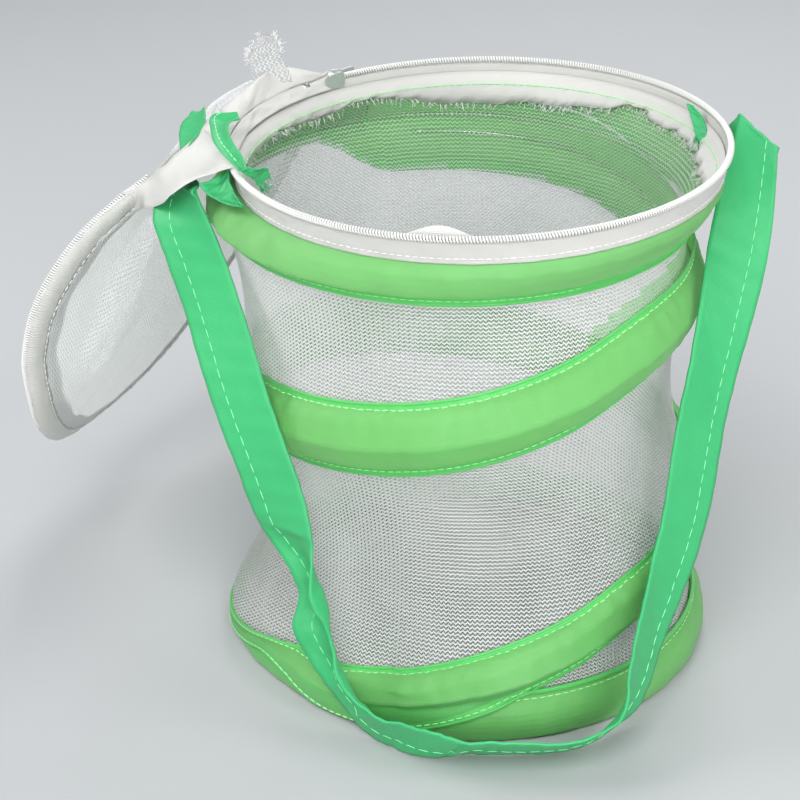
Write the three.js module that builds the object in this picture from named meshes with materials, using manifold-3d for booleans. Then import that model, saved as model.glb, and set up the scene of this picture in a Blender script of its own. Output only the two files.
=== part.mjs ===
// A pop-up insect cage: a mesh tube that stands on a wire base ring, with a spiral of spring wire in a
// fabric sleeve round its wall, a zip-off lid that hangs open at the back left, and a webbing carry strap.
// Millimetres. The origin is on the floor under the centre of the base ring, +X right, +Y back, +Z up.
import Module from "manifold-3d";
import * as THREE from "three";
import { mergeVertices } from "three/addons/utils/BufferGeometryUtils.js";

// Cloth and wire stock
const MESH_THICKNESS = 0.7;
const SLEEVE_THICKNESS = 0.8;
const TAPE_THICKNESS = 0.7;
const WEBBING_THICKNESS = 1.2;
const WIRE_DIAMETER = 1.6;
const COIL_DIAMETER = 2.2;
const LAYER_GAP = 0.35;

// The base ring, its sleeve and the floor
const BASE_WALL_RADIUS = 94.4;
const BASE_SLEEVE_HEIGHT = 20.6;
const BASE_SLEEVE_BULGE = 6.0;
const BASE_HEM = 3.6;
const FLOOR_THICKNESS = 0.8;
const FLOOR_TAPE_WIDTH = 5;
const BASE_FERRULE_TURN = 33.75;

// The mouth, where the zip's lower half is sewn to the wall
const MOUTH_HEIGHT = 209.3;
const MOUTH_OFFSET_X = -0.5;
const MOUTH_OFFSET_Y = 4.8;
const MOUTH_TILT = -1.55;
const MOUTH_SEAM_RADIUS = 97.8;
const MOUTH_FLARE = 2.3;
const RIM_TAPE_HEIGHT = 9.9;
const FACING_HEIGHT = 5.4;

// The wire hoop under the mouth
const HOOP_DROP = 15.3;
const HOOP_OFFSET_X = -11.8;
const HOOP_OFFSET_Y = 8.2;
const HOOP_WALL_RADIUS = 94.9;
const HOOP_SLEEVE_DROP = 20.2;
const HOOP_SLEEVE_BULGE = 5.2;
const HOOP_FERRULE_TURN = -146.25;

// The spiral, as turns in degrees against its wire's height as a share of the hoop's. It comes down clockwise.
const SPIRAL_PATH = [
  [112.5, 0.969], [60, 0.943], [22, 0.871], [-20, 0.835], [-45, 0.809], [-67, 0.753], [-91, 0.7],
  [-120, 0.657], [-150, 0.624], [-210, 0.557], [-270, 0.479], [-340, 0.387], [-405, 0.294],
  [-425, 0.232], [-448, 0.165], [-466, 0.116], [-487.5, 0.072],
];
const SPIRAL_WIRE_END = -435;
const SPIRAL_STANDOFF = 1.6;
const SPIRAL_RIGHT_SQUEEZE = 4;
const SPIRAL_SLEEVE_WIDTH = 32;
const SPIRAL_SLEEVE_BULGE = 4.6;

// How far the wall is drawn in between two wires that stand WAIST_SPAN apart
const WAIST_DEPTH = 8;
const WAIST_SPAN = 88;
const WAIST_LIMIT = 11;
const LEAN_X = -0.03;
const LEAN_Y = 0.025;

// The lid and its cloth hinge
const LID_RISE = 3.65;
const LID_TAPE_WIDTH = 10;
const LID_TAPE_RISE = 3;
const LID_CROWN = 3;
const HINGE_TURN = 152;
const HINGE_OFFSET = 5.4;
const HINGE_HALF_WIDTH = 8;
const HINGE_ROLL = 0.9;
const LID_OPEN_ANGLE = 236;

// The zip's ends, its slider and the pull
const ZIP_START = 137;
const ZIP_END = -171;
const ZIP_STOP_GAP = 1.3;
const SLIDER_TURN = 130;
const SLIDER_LENGTH = 10;
const SLIDER_PLATE = 1;
const SLIDER_SKIRT = 6.8;
const SLIDER_GAP = 3.6;
const PULL_LENGTH = 15;
const PULL_WIDTH = 4.6;
const PULL_THICKNESS = 1;
const PULL_PIN = 1.1;

// The carry strap and its sewn ends
const STRAP_WIDTH = 25;
const STRAP_CROWN = 0.3;
const LEFT_TAB_TURN = -172.5;
const RIGHT_TAB_TURN = 15;
const TAB_HALF_TURN = 7.5;

// Facets
const COLUMNS = 48;
const WIRE_SIDES = 6;

const RAD = Math.PI / 180;
const STEP = 360 / COLUMNS;
const TEETH_RADIUS = MOUTH_SEAM_RADIUS + MOUTH_FLARE;
const HOOP_HEIGHT = MOUTH_HEIGHT - HOOP_DROP;
const SPIRAL_RADIUS = BASE_WALL_RADIUS + SPIRAL_STANDOFF;
const cage = new THREE.Group();
const rim = new THREE.Group();
rim.position.set(MOUTH_OFFSET_X, MOUTH_OFFSET_Y, MOUTH_HEIGHT);
rim.rotation.y = MOUTH_TILT * RAD;
rim.updateMatrix();
cage.add(rim);

const finish = {
  net: { color: 0xf1f1ef, roughness: 0.85 },
  sleeve: { color: 0x74dc76, roughness: 0.6 },
  tape: { color: 0xeeedea, roughness: 0.8 },
  coil: { color: 0xe9e9e6, roughness: 0.4 },
  webbing: { color: 0x3fc878, roughness: 0.55 },
  steel: { color: 0x6e7276, roughness: 0.35, metalness: 0.9 },
  alloy: { color: 0xb9bcbf, roughness: 0.4, metalness: 0.7 },
};

function addPiece(parent, name, geometry, look) {
  const material = new THREE.MeshStandardMaterial(finish[look]);
  const mesh = new THREE.Mesh(geometry, material);
  mesh.name = name;
  parent.add(mesh);
  return mesh;
}

// Closed bodies from quads

class Body {
  constructor() {
    this.places = [];
    this.faces = [];
    this.known = new Map();
  }

  point(p) {
    const key = `${Math.round(p.x * 1e4)},${Math.round(p.y * 1e4)},${Math.round(p.z * 1e4)}`;
    if (!this.known.has(key)) {
      this.known.set(key, this.places.length);
      this.places.push(p.clone());
    }
    return this.known.get(key);
  }

  triangle(a, b, c) {
    const face = [this.point(a), this.point(b), this.point(c)];
    if (new Set(face).size === 3) {
      this.faces.push(face);
    }
  }

  quad(a, b, c, d) {
    this.triangle(a, b, c);
    this.triangle(a, c, d);
  }

  volume() {
    let sum = 0;
    for (const [a, b, c] of this.faces) {
      const cross = this.places[b].clone().cross(this.places[c]);
      sum += this.places[a].dot(cross);
    }
    return sum / 6;
  }

  geometry() {
    const turned = this.volume() < 0;
    const index = this.faces.flatMap(([a, b, c]) => (turned ? [a, c, b] : [a, b, c]));
    const geometry = new THREE.BufferGeometry();
    geometry.setAttribute("position", new THREE.Float32BufferAttribute(this.places.flatMap((p) => p.toArray()), 3));
    geometry.setIndex(index);
    return geometry;
  }
}

// A sheet with two faces, given as rows of points. A round sheet closes on itself along its rows.
function sheetBetween(front, back, round, body = new Body()) {
  const rows = front.length;
  const last = front[0].length - 1;
  for (let i = 0; i < (round ? rows : rows - 1); i++) {
    const k = (i + 1) % rows;
    for (let j = 0; j < last; j++) {
      body.quad(front[i][j], front[k][j], front[k][j + 1], front[i][j + 1]);
      body.quad(back[i][j], back[i][j + 1], back[k][j + 1], back[k][j]);
    }
    body.quad(front[k][0], front[i][0], back[i][0], back[k][0]);
    body.quad(front[i][last], front[k][last], back[k][last], back[i][last]);
  }
  if (!round) {
    const end = rows - 1;
    for (let j = 0; j < last; j++) {
      body.quad(front[0][j], front[0][j + 1], back[0][j + 1], back[0][j]);
      body.quad(front[end][j + 1], front[end][j], back[end][j], back[end][j + 1]);
    }
  }
  return body;
}

// A sheet of one thickness on both sides of a middle surface, given as rows of points.
function sheet(middle, thickness, round) {
  const rows = middle.length;
  const last = middle[0].length - 1;
  const front = [];
  const back = [];
  for (let i = 0; i < rows; i++) {
    const before = round ? (i + rows - 1) % rows : Math.max(i - 1, 0);
    const after = round ? (i + 1) % rows : Math.min(i + 1, rows - 1);
    front.push([]);
    back.push([]);
    for (let j = 0; j <= last; j++) {
      const along = middle[after][j].clone().sub(middle[before][j]);
      const across = middle[i][Math.min(j + 1, last)].clone().sub(middle[i][Math.max(j - 1, 0)]);
      const half = along.cross(across).normalize().multiplyScalar(thickness / 2);
      front[i].push(middle[i][j].clone().add(half));
      back[i].push(middle[i][j].clone().sub(half));
    }
  }
  return sheetBetween(front, back, round).geometry();
}

// A round bar along points, each with the two directions of its section.
function bar(stations, radius, sides, round) {
  const body = new Body();
  const rings = stations.map(({ place, out, up }) => {
    const ring = [];
    for (let s = 0; s < sides; s++) {
      const turn = (2 * Math.PI * s) / sides;
      const spot = place.clone().addScaledVector(out, radius * Math.cos(turn));
      ring.push(spot.addScaledVector(up, radius * Math.sin(turn)));
    }
    return ring;
  });
  for (let i = 0; i < (round ? rings.length : rings.length - 1); i++) {
    const here = rings[i];
    const next = rings[(i + 1) % rings.length];
    for (let s = 0; s < sides; s++) {
      const t = (s + 1) % sides;
      body.quad(here[s], next[s], next[t], here[t]);
    }
  }
  if (!round) {
    const start = stations[0].place;
    const end = stations[stations.length - 1].place;
    const first = rings[0];
    const final = rings[rings.length - 1];
    for (let s = 0; s < sides; s++) {
      const t = (s + 1) % sides;
      body.triangle(start, first[s], first[t]);
      body.triangle(end, final[t], final[s]);
    }
  }
  return body.geometry();
}

const UP = new THREE.Vector3(0, 0, 1);

function outward(turn) {
  return new THREE.Vector3(Math.cos(turn * RAD), Math.sin(turn * RAD), 0);
}

function aroundAxis(turn, radius, height) {
  return outward(turn).multiplyScalar(radius).setZ(height);
}

function turnsBetween(from, to, step = STEP) {
  const count = Math.round(Math.abs(to - from) / step);
  return Array.from({ length: count + 1 }, (_, i) => from + ((to - from) * i) / count);
}

const ALL_ROUND = Array.from({ length: COLUMNS }, (_, i) => i * STEP);

// The wall's shape

function blendBetween(a, b, share) {
  return a + (b - a) * share;
}

function smoothStep(from, to, value) {
  const share = Math.min(Math.max((value - from) / (to - from), 0), 1);
  return share * share * (3 - 2 * share);
}

// The height of the spiral's wire at a turn, as a smooth curve through SPIRAL_PATH.
function spiralHeight(turn) {
  let i = 0;
  while (i < SPIRAL_PATH.length - 2 && turn < SPIRAL_PATH[i + 1][0]) {
    i++;
  }
  const slope = (k) => {
    const a = SPIRAL_PATH[Math.max(k - 1, 0)];
    const b = SPIRAL_PATH[Math.min(k + 1, SPIRAL_PATH.length - 1)];
    return (b[1] - a[1]) / (b[0] - a[0]);
  };
  const [t0, low] = SPIRAL_PATH[i];
  const [t1, high] = SPIRAL_PATH[i + 1];
  const s = (turn - t0) / (t1 - t0);
  const span = t1 - t0;
  const share = (2 * s ** 3 - 3 * s ** 2 + 1) * low + (s ** 3 - 2 * s ** 2 + s) * span * slope(i)
    + (3 * s ** 2 - 2 * s ** 3) * high + (s ** 3 - s ** 2) * span * slope(i + 1);
  return share * HOOP_HEIGHT;
}

const SPIRAL_START = SPIRAL_PATH[0][0];
const SPIRAL_END = SPIRAL_PATH[SPIRAL_PATH.length - 1][0];

function spiralRadius(turn) {
  return SPIRAL_RADIUS - SPIRAL_RIGHT_SQUEEZE * Math.exp(-(((turn - 5) / 55) ** 2));
}

// The distance from the cage's leaning axis to a circle whose centre is off that axis.
function circleFromAxis(turn, offsetX, offsetY, radius) {
  const c = Math.cos(turn * RAD);
  const s = Math.sin(turn * RAD);
  const across = offsetY * c - offsetX * s;
  return offsetX * c + offsetY * s + Math.sqrt(radius ** 2 - across ** 2);
}

function hoopRadius(turn) {
  const x = HOOP_OFFSET_X - LEAN_X * HOOP_HEIGHT;
  const y = HOOP_OFFSET_Y - LEAN_Y * HOOP_HEIGHT;
  return circleFromAxis(turn, x, y, HOOP_WALL_RADIUS);
}

function mouthRadius(turn) {
  const x = MOUTH_OFFSET_X - LEAN_X * MOUTH_HEIGHT;
  const y = MOUTH_OFFSET_Y - LEAN_Y * MOUTH_HEIGHT;
  return circleFromAxis(turn, x, y, MOUTH_SEAM_RADIUS - TAPE_THICKNESS - LAYER_GAP);
}

function mouthHeight(turn) {
  const edge = aroundAxis(turn, MOUTH_SEAM_RADIUS, -LAYER_GAP);
  return edge.applyMatrix4(rim.matrix).z;
}

function baseRadius(turn, height) {
  return circleFromAxis(turn, -LEAN_X * height, -LEAN_Y * height, BASE_WALL_RADIUS);
}

// Every wire that holds the wall out at a turn, from the bottom up, as heights and radii.
function holdersAt(turn) {
  const holders = [{ height: BASE_SLEEVE_HEIGHT, radius: baseRadius(turn, BASE_SLEEVE_HEIGHT) }];
  for (let lap = -2; lap <= 0; lap++) {
    const t = turn + 360 * lap;
    if (t <= SPIRAL_START && t >= SPIRAL_END && spiralHeight(t) > BASE_SLEEVE_HEIGHT + 4) {
      holders.push({ height: spiralHeight(t), radius: spiralRadius(t) });
    }
  }
  holders.push({ height: HOOP_HEIGHT, radius: hoopRadius(turn) });
  holders.push({ height: mouthHeight(turn), radius: mouthRadius(turn) });
  return holders;
}

function wallRadius(turn, height) {
  const round = ((((turn + 180) % 360) + 360) % 360) - 180;
  if (height <= BASE_SLEEVE_HEIGHT) {
    return baseRadius(round, height);
  }
  const holders = holdersAt(round);
  let i = 0;
  while (i < holders.length - 2 && height > holders[i + 1].height) {
    i++;
  }
  const low = holders[i];
  const high = holders[i + 1];
  const span = high.height - low.height;
  const share = (height - low.height) / span;
  const depth = Math.min(WAIST_DEPTH * (span / WAIST_SPAN) ** 2, WAIST_LIMIT);
  return blendBetween(low.radius, high.radius, share) - depth * 4 * share * (1 - share);
}

// The wall's own facets, so that what lies on it keeps one gap all over.
const WALL_BANDS = 10;
const WALL_ROWS = [LAYER_GAP + FLOOR_THICKNESS];
for (let band = 0; band <= WALL_BANDS; band++) {
  WALL_ROWS.push(blendBetween(BASE_SLEEVE_HEIGHT, HOOP_HEIGHT, band / WALL_BANDS));
}

function wallFacetRadius(turn, height) {
  const rows = [...WALL_ROWS, mouthHeight(turn)];
  let i = 0;
  while (i < rows.length - 2 && height > rows[i + 1]) {
    i++;
  }
  const share = (height - rows[i]) / (rows[i + 1] - rows[i]);
  return blendBetween(wallRadius(turn, rows[i]), wallRadius(turn, rows[i + 1]), share);
}

function onWall(turn, height, offset = 0) {
  const place = aroundAxis(turn, wallFacetRadius(turn, height) + offset, height);
  return place.add(new THREE.Vector3(LEAN_X * height, LEAN_Y * height, 0));
}

// The wall

function makeWall() {
  const rows = ALL_ROUND.map((turn) => [...WALL_ROWS, mouthHeight(turn)].map((z) => onWall(turn, z)));
  addPiece(cage, "wall_mesh", sheet(rows, MESH_THICKNESS, true), "net");
}

const ON_WALL = MESH_THICKNESS / 2 + LAYER_GAP + SLEEVE_THICKNESS / 2;
const WIRE_ON_WALL = MESH_THICKNESS / 2 + 1.2 * LAYER_GAP + WIRE_DIAMETER / 2;

// A sleeve stands off the wall between its two sewn edges, given as the share across it.
function sleeveRise(share) {
  return Math.max(0, 1 - Math.abs((share - 0.5) / 0.4) ** 3);
}

// Where the spiral runs into the hoop's sleeve, both edges stand clear of the hoop's wire.
function edgeLift(turn) {
  const lift = WIRE_DIAMETER + LAYER_GAP + 3 * smoothStep(90, 105, turn);
  return lift * smoothStep(-45, -15, turn) * (1 - smoothStep(SPIRAL_START + STEP, SPIRAL_START + 2 * STEP, turn));
}

// The base sleeve's section, from its hem under the floor's edge to its sewn top edge, as radii and heights.
const BASE_SECTION = [
  [BASE_WALL_RADIUS - SLEEVE_THICKNESS / 4, SLEEVE_THICKNESS / 2],
  [BASE_WALL_RADIUS + BASE_HEM, SLEEVE_THICKNESS / 2],
  [BASE_WALL_RADIUS + BASE_SLEEVE_BULGE, BASE_SLEEVE_HEIGHT * 0.13],
  [BASE_WALL_RADIUS + BASE_SLEEVE_BULGE + 0.8, BASE_SLEEVE_HEIGHT * 0.34],
  [BASE_WALL_RADIUS + BASE_SLEEVE_BULGE, BASE_SLEEVE_HEIGHT * 0.6],
  [BASE_WALL_RADIUS + BASE_SLEEVE_BULGE * 0.62, BASE_SLEEVE_HEIGHT * 0.79],
  [BASE_WALL_RADIUS + ON_WALL + 0.15, BASE_SLEEVE_HEIGHT * 0.88],
  [BASE_WALL_RADIUS + ON_WALL, BASE_SLEEVE_HEIGHT],
];

function baseSleeveRadius(height) {
  let i = 2;
  while (i < BASE_SECTION.length - 2 && height > BASE_SECTION[i + 1][1]) {
    i++;
  }
  const [r0, z0] = BASE_SECTION[i];
  const [r1, z1] = BASE_SECTION[i + 1];
  return height > BASE_SLEEVE_HEIGHT ? 0 : blendBetween(r0, r1, Math.max(0, (height - z0) / (z1 - z0)));
}

function spiralSleevePoint(turn, share) {
  const wire = spiralHeight(turn);
  const low = Math.max(wire - SPIRAL_SLEEVE_WIDTH / 2, 1.4);
  const height = blendBetween(low, wire + SPIRAL_SLEEVE_WIDTH / 2, share);
  const rise = SPIRAL_SLEEVE_BULGE * sleeveRise(share);
  const offset = ON_WALL + Math.max(rise, share > 0.5 ? edgeLift(turn) : 0);
  const place = onWall(turn, height, offset);
  const least = baseSleeveRadius(height - 1) + SLEEVE_THICKNESS + LAYER_GAP + 0.2;
  const reach = Math.hypot(place.x, place.y);
  const overBase = height < BASE_SLEEVE_HEIGHT + 1 ? Math.max(least + rise * 0.4, reach) : reach;
  place.x *= overBase / reach;
  place.y *= overBase / reach;
  return place;
}

function makeSpiral() {
  const shares = [0, 0.1, 0.25, 0.5, 0.75, 0.9, 1];
  const turns = turnsBetween(SPIRAL_START, SPIRAL_END);
  const rows = turns.map((turn) => shares.map((share) => spiralSleevePoint(turn, share)));
  addPiece(cage, "spiral_sleeve", sheet(rows, SLEEVE_THICKNESS, false), "sleeve");
  const wireTurns = turnsBetween(SPIRAL_START - STEP, SPIRAL_WIRE_END);
  const stations = wireTurns.map((turn) => {
    return { place: onWall(turn, spiralHeight(turn), WIRE_ON_WALL), out: outward(turn), up: UP };
  });
  addPiece(cage, "spiral_wire", bar(stations, WIRE_DIAMETER / 2, WIRE_SIDES, false), "steel");
}

// The hoop's sleeve hangs from the mouth's seam. Its lower edge makes room for the spiral where they meet.
function hoopSleeveLow(turn) {
  const flat = MOUTH_HEIGHT - HOOP_SLEEVE_DROP;
  const spiralTop = spiralHeight(turn) + SPIRAL_SLEEVE_WIDTH / 2 + 4 * LAYER_GAP + SLEEVE_THICKNESS / 2;
  const over = turn >= -60 && turn <= SPIRAL_START + STEP / 2;
  return over ? Math.max(flat, Math.min(spiralTop, mouthHeight(turn) - 2.6)) : flat;
}

function hoopSleevePoint(turn, share, extra = 0) {
  const round = ((((turn + 180) % 360) + 360) % 360) - 180;
  const top = mouthHeight(round) - SLEEVE_THICKNESS / 2;
  const low = hoopSleeveLow(round);
  const height = blendBetween(low, top, share);
  const full = Math.min((top - low) / HOOP_SLEEVE_DROP, 1);
  const rise = HOOP_SLEEVE_BULGE * full * sleeveRise(share * 0.88 + 0.05);
  const offset = ON_WALL + Math.max(rise, share < 0.5 ? edgeLift(round) : 0);
  return onWall(round, height, offset + extra);
}

function makeHoop() {
  const shares = [0, 0.1, 0.25, 0.5, 0.75, 0.92, 1];
  const rows = ALL_ROUND.map((turn) => shares.map((share) => hoopSleevePoint(turn, share)));
  addPiece(cage, "hoop_sleeve", sheet(rows, SLEEVE_THICKNESS, true), "sleeve");
  const stations = ALL_ROUND.map((turn) => {
    return { place: onWall(turn, HOOP_HEIGHT, WIRE_ON_WALL), out: outward(turn), up: UP };
  });
  addPiece(cage, "hoop_wire", bar(stations, WIRE_DIAMETER / 2, WIRE_SIDES, true), "steel");
}

// A crimped tube that joins the two ends of a ring's wire, slit open along its length.
function makeFerrule(name, turn, place) {
  const outer = WIRE_DIAMETER / 2 + LAYER_GAP + 0.5;
  const inner = WIRE_DIAMETER / 2 + LAYER_GAP;
  const slit = 72;
  const front = [];
  const back = [];
  for (const angle of turnsBetween(180 + slit, 540 - slit, 26)) {
    const line = [-6, 6].map((run) => {
      const along = new THREE.Vector3(-Math.sin(turn * RAD), Math.cos(turn * RAD), 0);
      const spoke = outward(turn).multiplyScalar(Math.cos(angle * RAD)).addScaledVector(UP, Math.sin(angle * RAD));
      return { along: along.multiplyScalar(run), spoke };
    });
    front.push(line.map(({ along, spoke }) => place.clone().add(along).addScaledVector(spoke, outer)));
    back.push(line.map(({ along, spoke }) => place.clone().add(along).addScaledVector(spoke, inner)));
  }
  addPiece(cage, name, sheetBetween(front, back, false).geometry(), "alloy");
}

// The base

function sectionSheet(section, thickness) {
  const rows = ALL_ROUND.map((turn) => section.map(([r, z]) => aroundAxis(turn, r, z)));
  return sheet(rows, thickness, true);
}

function makeBase() {
  addPiece(cage, "base_sleeve", sectionSheet(BASE_SECTION, SLEEVE_THICKNESS), "sleeve");
  const sleeveInside = BASE_SECTION[3][0] - SLEEVE_THICKNESS / 2;
  const wireRadius = sleeveInside - 2 * LAYER_GAP - 0.5 - WIRE_DIAMETER / 2;
  const wireHeight = BASE_SECTION[3][1];
  const stations = ALL_ROUND.map((turn) => {
    return { place: aroundAxis(turn, wireRadius, wireHeight), out: outward(turn), up: UP };
  });
  addPiece(cage, "base_wire", bar(stations, WIRE_DIAMETER / 2, WIRE_SIDES, true), "steel");
  makeFerrule("base_ferrule", BASE_FERRULE_TURN, aroundAxis(BASE_FERRULE_TURN, wireRadius, wireHeight));
  const floorRadius = BASE_WALL_RADIUS - SLEEVE_THICKNESS / 4 - LAYER_GAP;
  const disc = new THREE.CylinderGeometry(floorRadius, floorRadius, FLOOR_THICKNESS, COLUMNS);
  disc.rotateX(Math.PI / 2);
  disc.translate(0, 0, FLOOR_THICKNESS / 2);
  addPiece(cage, "floor_net", disc, "net");
  const tapeEdge = BASE_WALL_RADIUS - MESH_THICKNESS / 2 - LAYER_GAP;
  const tapeHeight = FLOOR_THICKNESS + LAYER_GAP + TAPE_THICKNESS / 2;
  const tape = [[tapeEdge - FLOOR_TAPE_WIDTH, tapeHeight], [tapeEdge - TAPE_THICKNESS, tapeHeight]];
  tape.push([tapeEdge - TAPE_THICKNESS / 2, tapeHeight + FLOOR_TAPE_WIDTH]);
  addPiece(cage, "floor_tape", sectionSheet(tape, TAPE_THICKNESS), "tape");
}

// The mouth's half of the zip. Everything here is in the rim's own tilted frame, with its seam at height 0.

function rimTapeRadius(height) {
  return blendBetween(MOUTH_SEAM_RADIUS, TEETH_RADIUS, height / RIM_TAPE_HEIGHT);
}

function zipCoil(radius, height) {
  const stations = turnsBetween(ZIP_START, ZIP_END).map((turn) => {
    return { place: aroundAxis(turn, radius, height), out: outward(turn), up: UP };
  });
  return bar(stations, COIL_DIAMETER / 2, WIRE_SIDES, false);
}

function makeRimZip() {
  const top = RIM_TAPE_HEIGHT - COIL_DIAMETER / 2 - LAYER_GAP;
  const heights = [0.05, top / 2, top];
  const rows = ALL_ROUND.map((turn) => heights.map((z) => aroundAxis(turn, rimTapeRadius(z), z)));
  addPiece(rim, "rim_zip_tape", sheet(rows, TAPE_THICKNESS, true), "tape");
  addPiece(rim, "rim_zip_coil", zipCoil(TEETH_RADIUS, RIM_TAPE_HEIGHT), "coil");
}

// The raw edge of the wall's cloth, turned in under the mouth, waves up and down.
function facingDepth(turn) {
  const t = turn * RAD;
  return 4 + 1.6 * Math.sin(5 * t + 0.6) + 1.2 * Math.sin(11 * t + 2.1);
}

function makeFacing() {
  const inset = TAPE_THICKNESS + LAYER_GAP;
  const matrix = rim.matrix;
  const rows = ALL_ROUND.map((turn) => {
    const top = aroundAxis(turn, rimTapeRadius(FACING_HEIGHT) - inset, FACING_HEIGHT).applyMatrix4(matrix);
    const seam = aroundAxis(turn, rimTapeRadius(0) - 2 * inset - 2 * LAYER_GAP, 0.4).applyMatrix4(matrix);
    const low = mouthHeight(turn) - facingDepth(turn);
    return [top, seam, onWall(turn, low, -MESH_THICKNESS / 2 - 3 * LAYER_GAP - TAPE_THICKNESS / 2)];
  });
  addPiece(cage, "mouth_facing", sheet(rows, TAPE_THICKNESS, true), "tape");
}

// A small clip at each end of the coil, which stops the slider.
function makeZipStop(name, turn) {
  const body = new Body();
  const corners = [0, 1, 2, 3].map((k) => {
    const side = turn + (k === 1 || k === 2 ? 0.9 : -0.9);
    const reach = TEETH_RADIUS + (k > 1 ? 1.4 : -1.4);
    return [RIM_TAPE_HEIGHT - 0.8, RIM_TAPE_HEIGHT + 1.2].map((z) => aroundAxis(side, reach, z));
  });
  for (let k = 0; k < 4; k++) {
    const next = corners[(k + 1) % 4];
    body.quad(corners[k][0], next[0], next[1], corners[k][1]);
  }
  body.quad(corners[3][0], corners[2][0], corners[1][0], corners[0][0]);
  body.quad(corners[0][1], corners[1][1], corners[2][1], corners[3][1]);
  addPiece(rim, name, body.geometry(), "alloy");
}

// The lid, drawn closed on the mouth and then turned open about its cloth hinge

const HINGE_RADIUS = TEETH_RADIUS + HINGE_OFFSET;
const LID_COIL_HEIGHT = RIM_TAPE_HEIGHT + LID_RISE;
const HINGE_HEIGHT = RIM_TAPE_HEIGHT + LID_RISE - 1.35;
const lid = new THREE.Group();
const hingePoint = aroundAxis(HINGE_TURN, HINGE_RADIUS, HINGE_HEIGHT);
const hingeAxis = new THREE.Vector3(-Math.sin(HINGE_TURN * RAD), Math.cos(HINGE_TURN * RAD), 0);
lid.quaternion.setFromAxisAngle(hingeAxis, LID_OPEN_ANGLE * RAD);
lid.position.copy(hingePoint).sub(hingePoint.clone().applyQuaternion(lid.quaternion));
rim.add(lid);

// The lid's tape rises from its coil and rolls in over the edge, as radii and heights above the seam.
const LID_EDGE_HEIGHT = LID_COIL_HEIGHT + COIL_DIAMETER / 2 + LAYER_GAP;
const LID_TAPE_SECTION = [
  [TEETH_RADIUS, LID_EDGE_HEIGHT],
  [TEETH_RADIUS - LID_TAPE_WIDTH * 0.12, LID_EDGE_HEIGHT + LID_TAPE_RISE * 0.45],
  [TEETH_RADIUS - LID_TAPE_WIDTH * 0.45, LID_EDGE_HEIGHT + LID_TAPE_RISE * 0.85],
  [TEETH_RADIUS - LID_TAPE_WIDTH, LID_EDGE_HEIGHT + LID_TAPE_RISE],
];
const LID_NET_RADIUS = TEETH_RADIUS - LID_TAPE_WIDTH - LAYER_GAP - 0.1;
const LID_NET_HEIGHT = LID_EDGE_HEIGHT + LID_TAPE_RISE;

function lidNetHeight(radius) {
  return LID_NET_HEIGHT + LID_CROWN * (1 - (radius / LID_NET_RADIUS) ** 2);
}

function makeLid() {
  addPiece(lid, "lid_zip_coil", zipCoil(TEETH_RADIUS, LID_COIL_HEIGHT), "coil");
  addPiece(lid, "lid_zip_tape", sectionSheet(LID_TAPE_SECTION, TAPE_THICKNESS), "tape");
  const radii = [0, 0.22, 0.44, 0.64, 0.83, 1].map((share) => share * LID_NET_RADIUS);
  const half = MESH_THICKNESS / 2;
  const top = ALL_ROUND.map((turn) => radii.map((r) => aroundAxis(turn, r, lidNetHeight(r) + half)));
  const under = ALL_ROUND.map((turn) => radii.map((r) => aroundAxis(turn, r, lidNetHeight(r) - half)));
  addPiece(lid, "lid_net", sheetBetween(top, under, true).geometry(), "net");
  const welt = [LID_NET_RADIUS - 6.5, LID_NET_RADIUS - 3.2, LID_NET_RADIUS].map((r) => {
    return [r, lidNetHeight(r) - MESH_THICKNESS / 2 - LAYER_GAP - TAPE_THICKNESS / 2];
  });
  addPiece(lid, "lid_seam_tape", sectionSheet(welt, TAPE_THICKNESS), "tape");
}

// A point on the straight fold line of the hinge, moved off it in the hinge's own section.
function foldPoint(run, out, up) {
  const place = hingePoint.clone().addScaledVector(hingeAxis, run);
  return place.addScaledVector(outward(HINGE_TURN), out).addScaledVector(UP, up);
}

function makeHinge() {
  const turns = turnsBetween(HINGE_TURN - HINGE_HALF_WIDTH, HINGE_TURN + HINGE_HALF_WIDTH, STEP / 2);
  const runAt = (turn) => HINGE_RADIUS * Math.tan((turn - HINGE_TURN) * RAD);
  const lidSide = turns.map((turn) => {
    const edge = aroundAxis(turn, TEETH_RADIUS + TAPE_THICKNESS + LAYER_GAP, LID_EDGE_HEIGHT + LAYER_GAP);
    return [foldPoint(runAt(turn), -HINGE_ROLL, 0.25), edge];
  });
  addPiece(lid, "hinge_cloth_lid", sheet(lidSide, TAPE_THICKNESS, false), "tape");
  const rimSide = turns.map((turn) => {
    const onTape = rimTapeRadius(4) + TAPE_THICKNESS + LAYER_GAP;
    const root = aroundAxis(turn, onTape, 4);
    return [foldPoint(runAt(turn), -HINGE_ROLL * 0.7, -HINGE_ROLL * 0.8), foldPoint(runAt(turn), -1.6, -3.4), root];
  });
  addPiece(rim, "hinge_cloth_rim", sheet(rimSide, TAPE_THICKNESS, false), "tape");
}

// The loose end of the wall's net stands up beside the hinge, cut raw.
function makeTail() {
  const rows = [];
  const root = rimTapeRadius(4.4) + TAPE_THICKNESS + LAYER_GAP;
  for (const share of [0, 0.25, 0.5, 0.75, 1]) {
    const spread = blendBetween(5.2, 3.2, share) + 1.4 * Math.sin(share * 9);
    const line = [-1, 0, 1].map((side) => {
      const turn = 141.4 - side * spread * 0.36 - share * 1.8;
      const ripple = 0.9 * Math.sin(share * 7 + side * 1.7);
      const rag = share === 1 ? 1.6 * side * side : 0;
      const rise = blendBetween(4.4, 26, share) + rag;
      const reach = blendBetween(root, TEETH_RADIUS + 2.8, Math.min(share * 4, 1));
      return aroundAxis(turn, reach + ripple * share + 1.4 * share, rise);
    });
    rows.push(line);
  }
  addPiece(rim, "net_tail", sheet(rows, MESH_THICKNESS, false), "net");
}

// The slider and its pull

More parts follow.
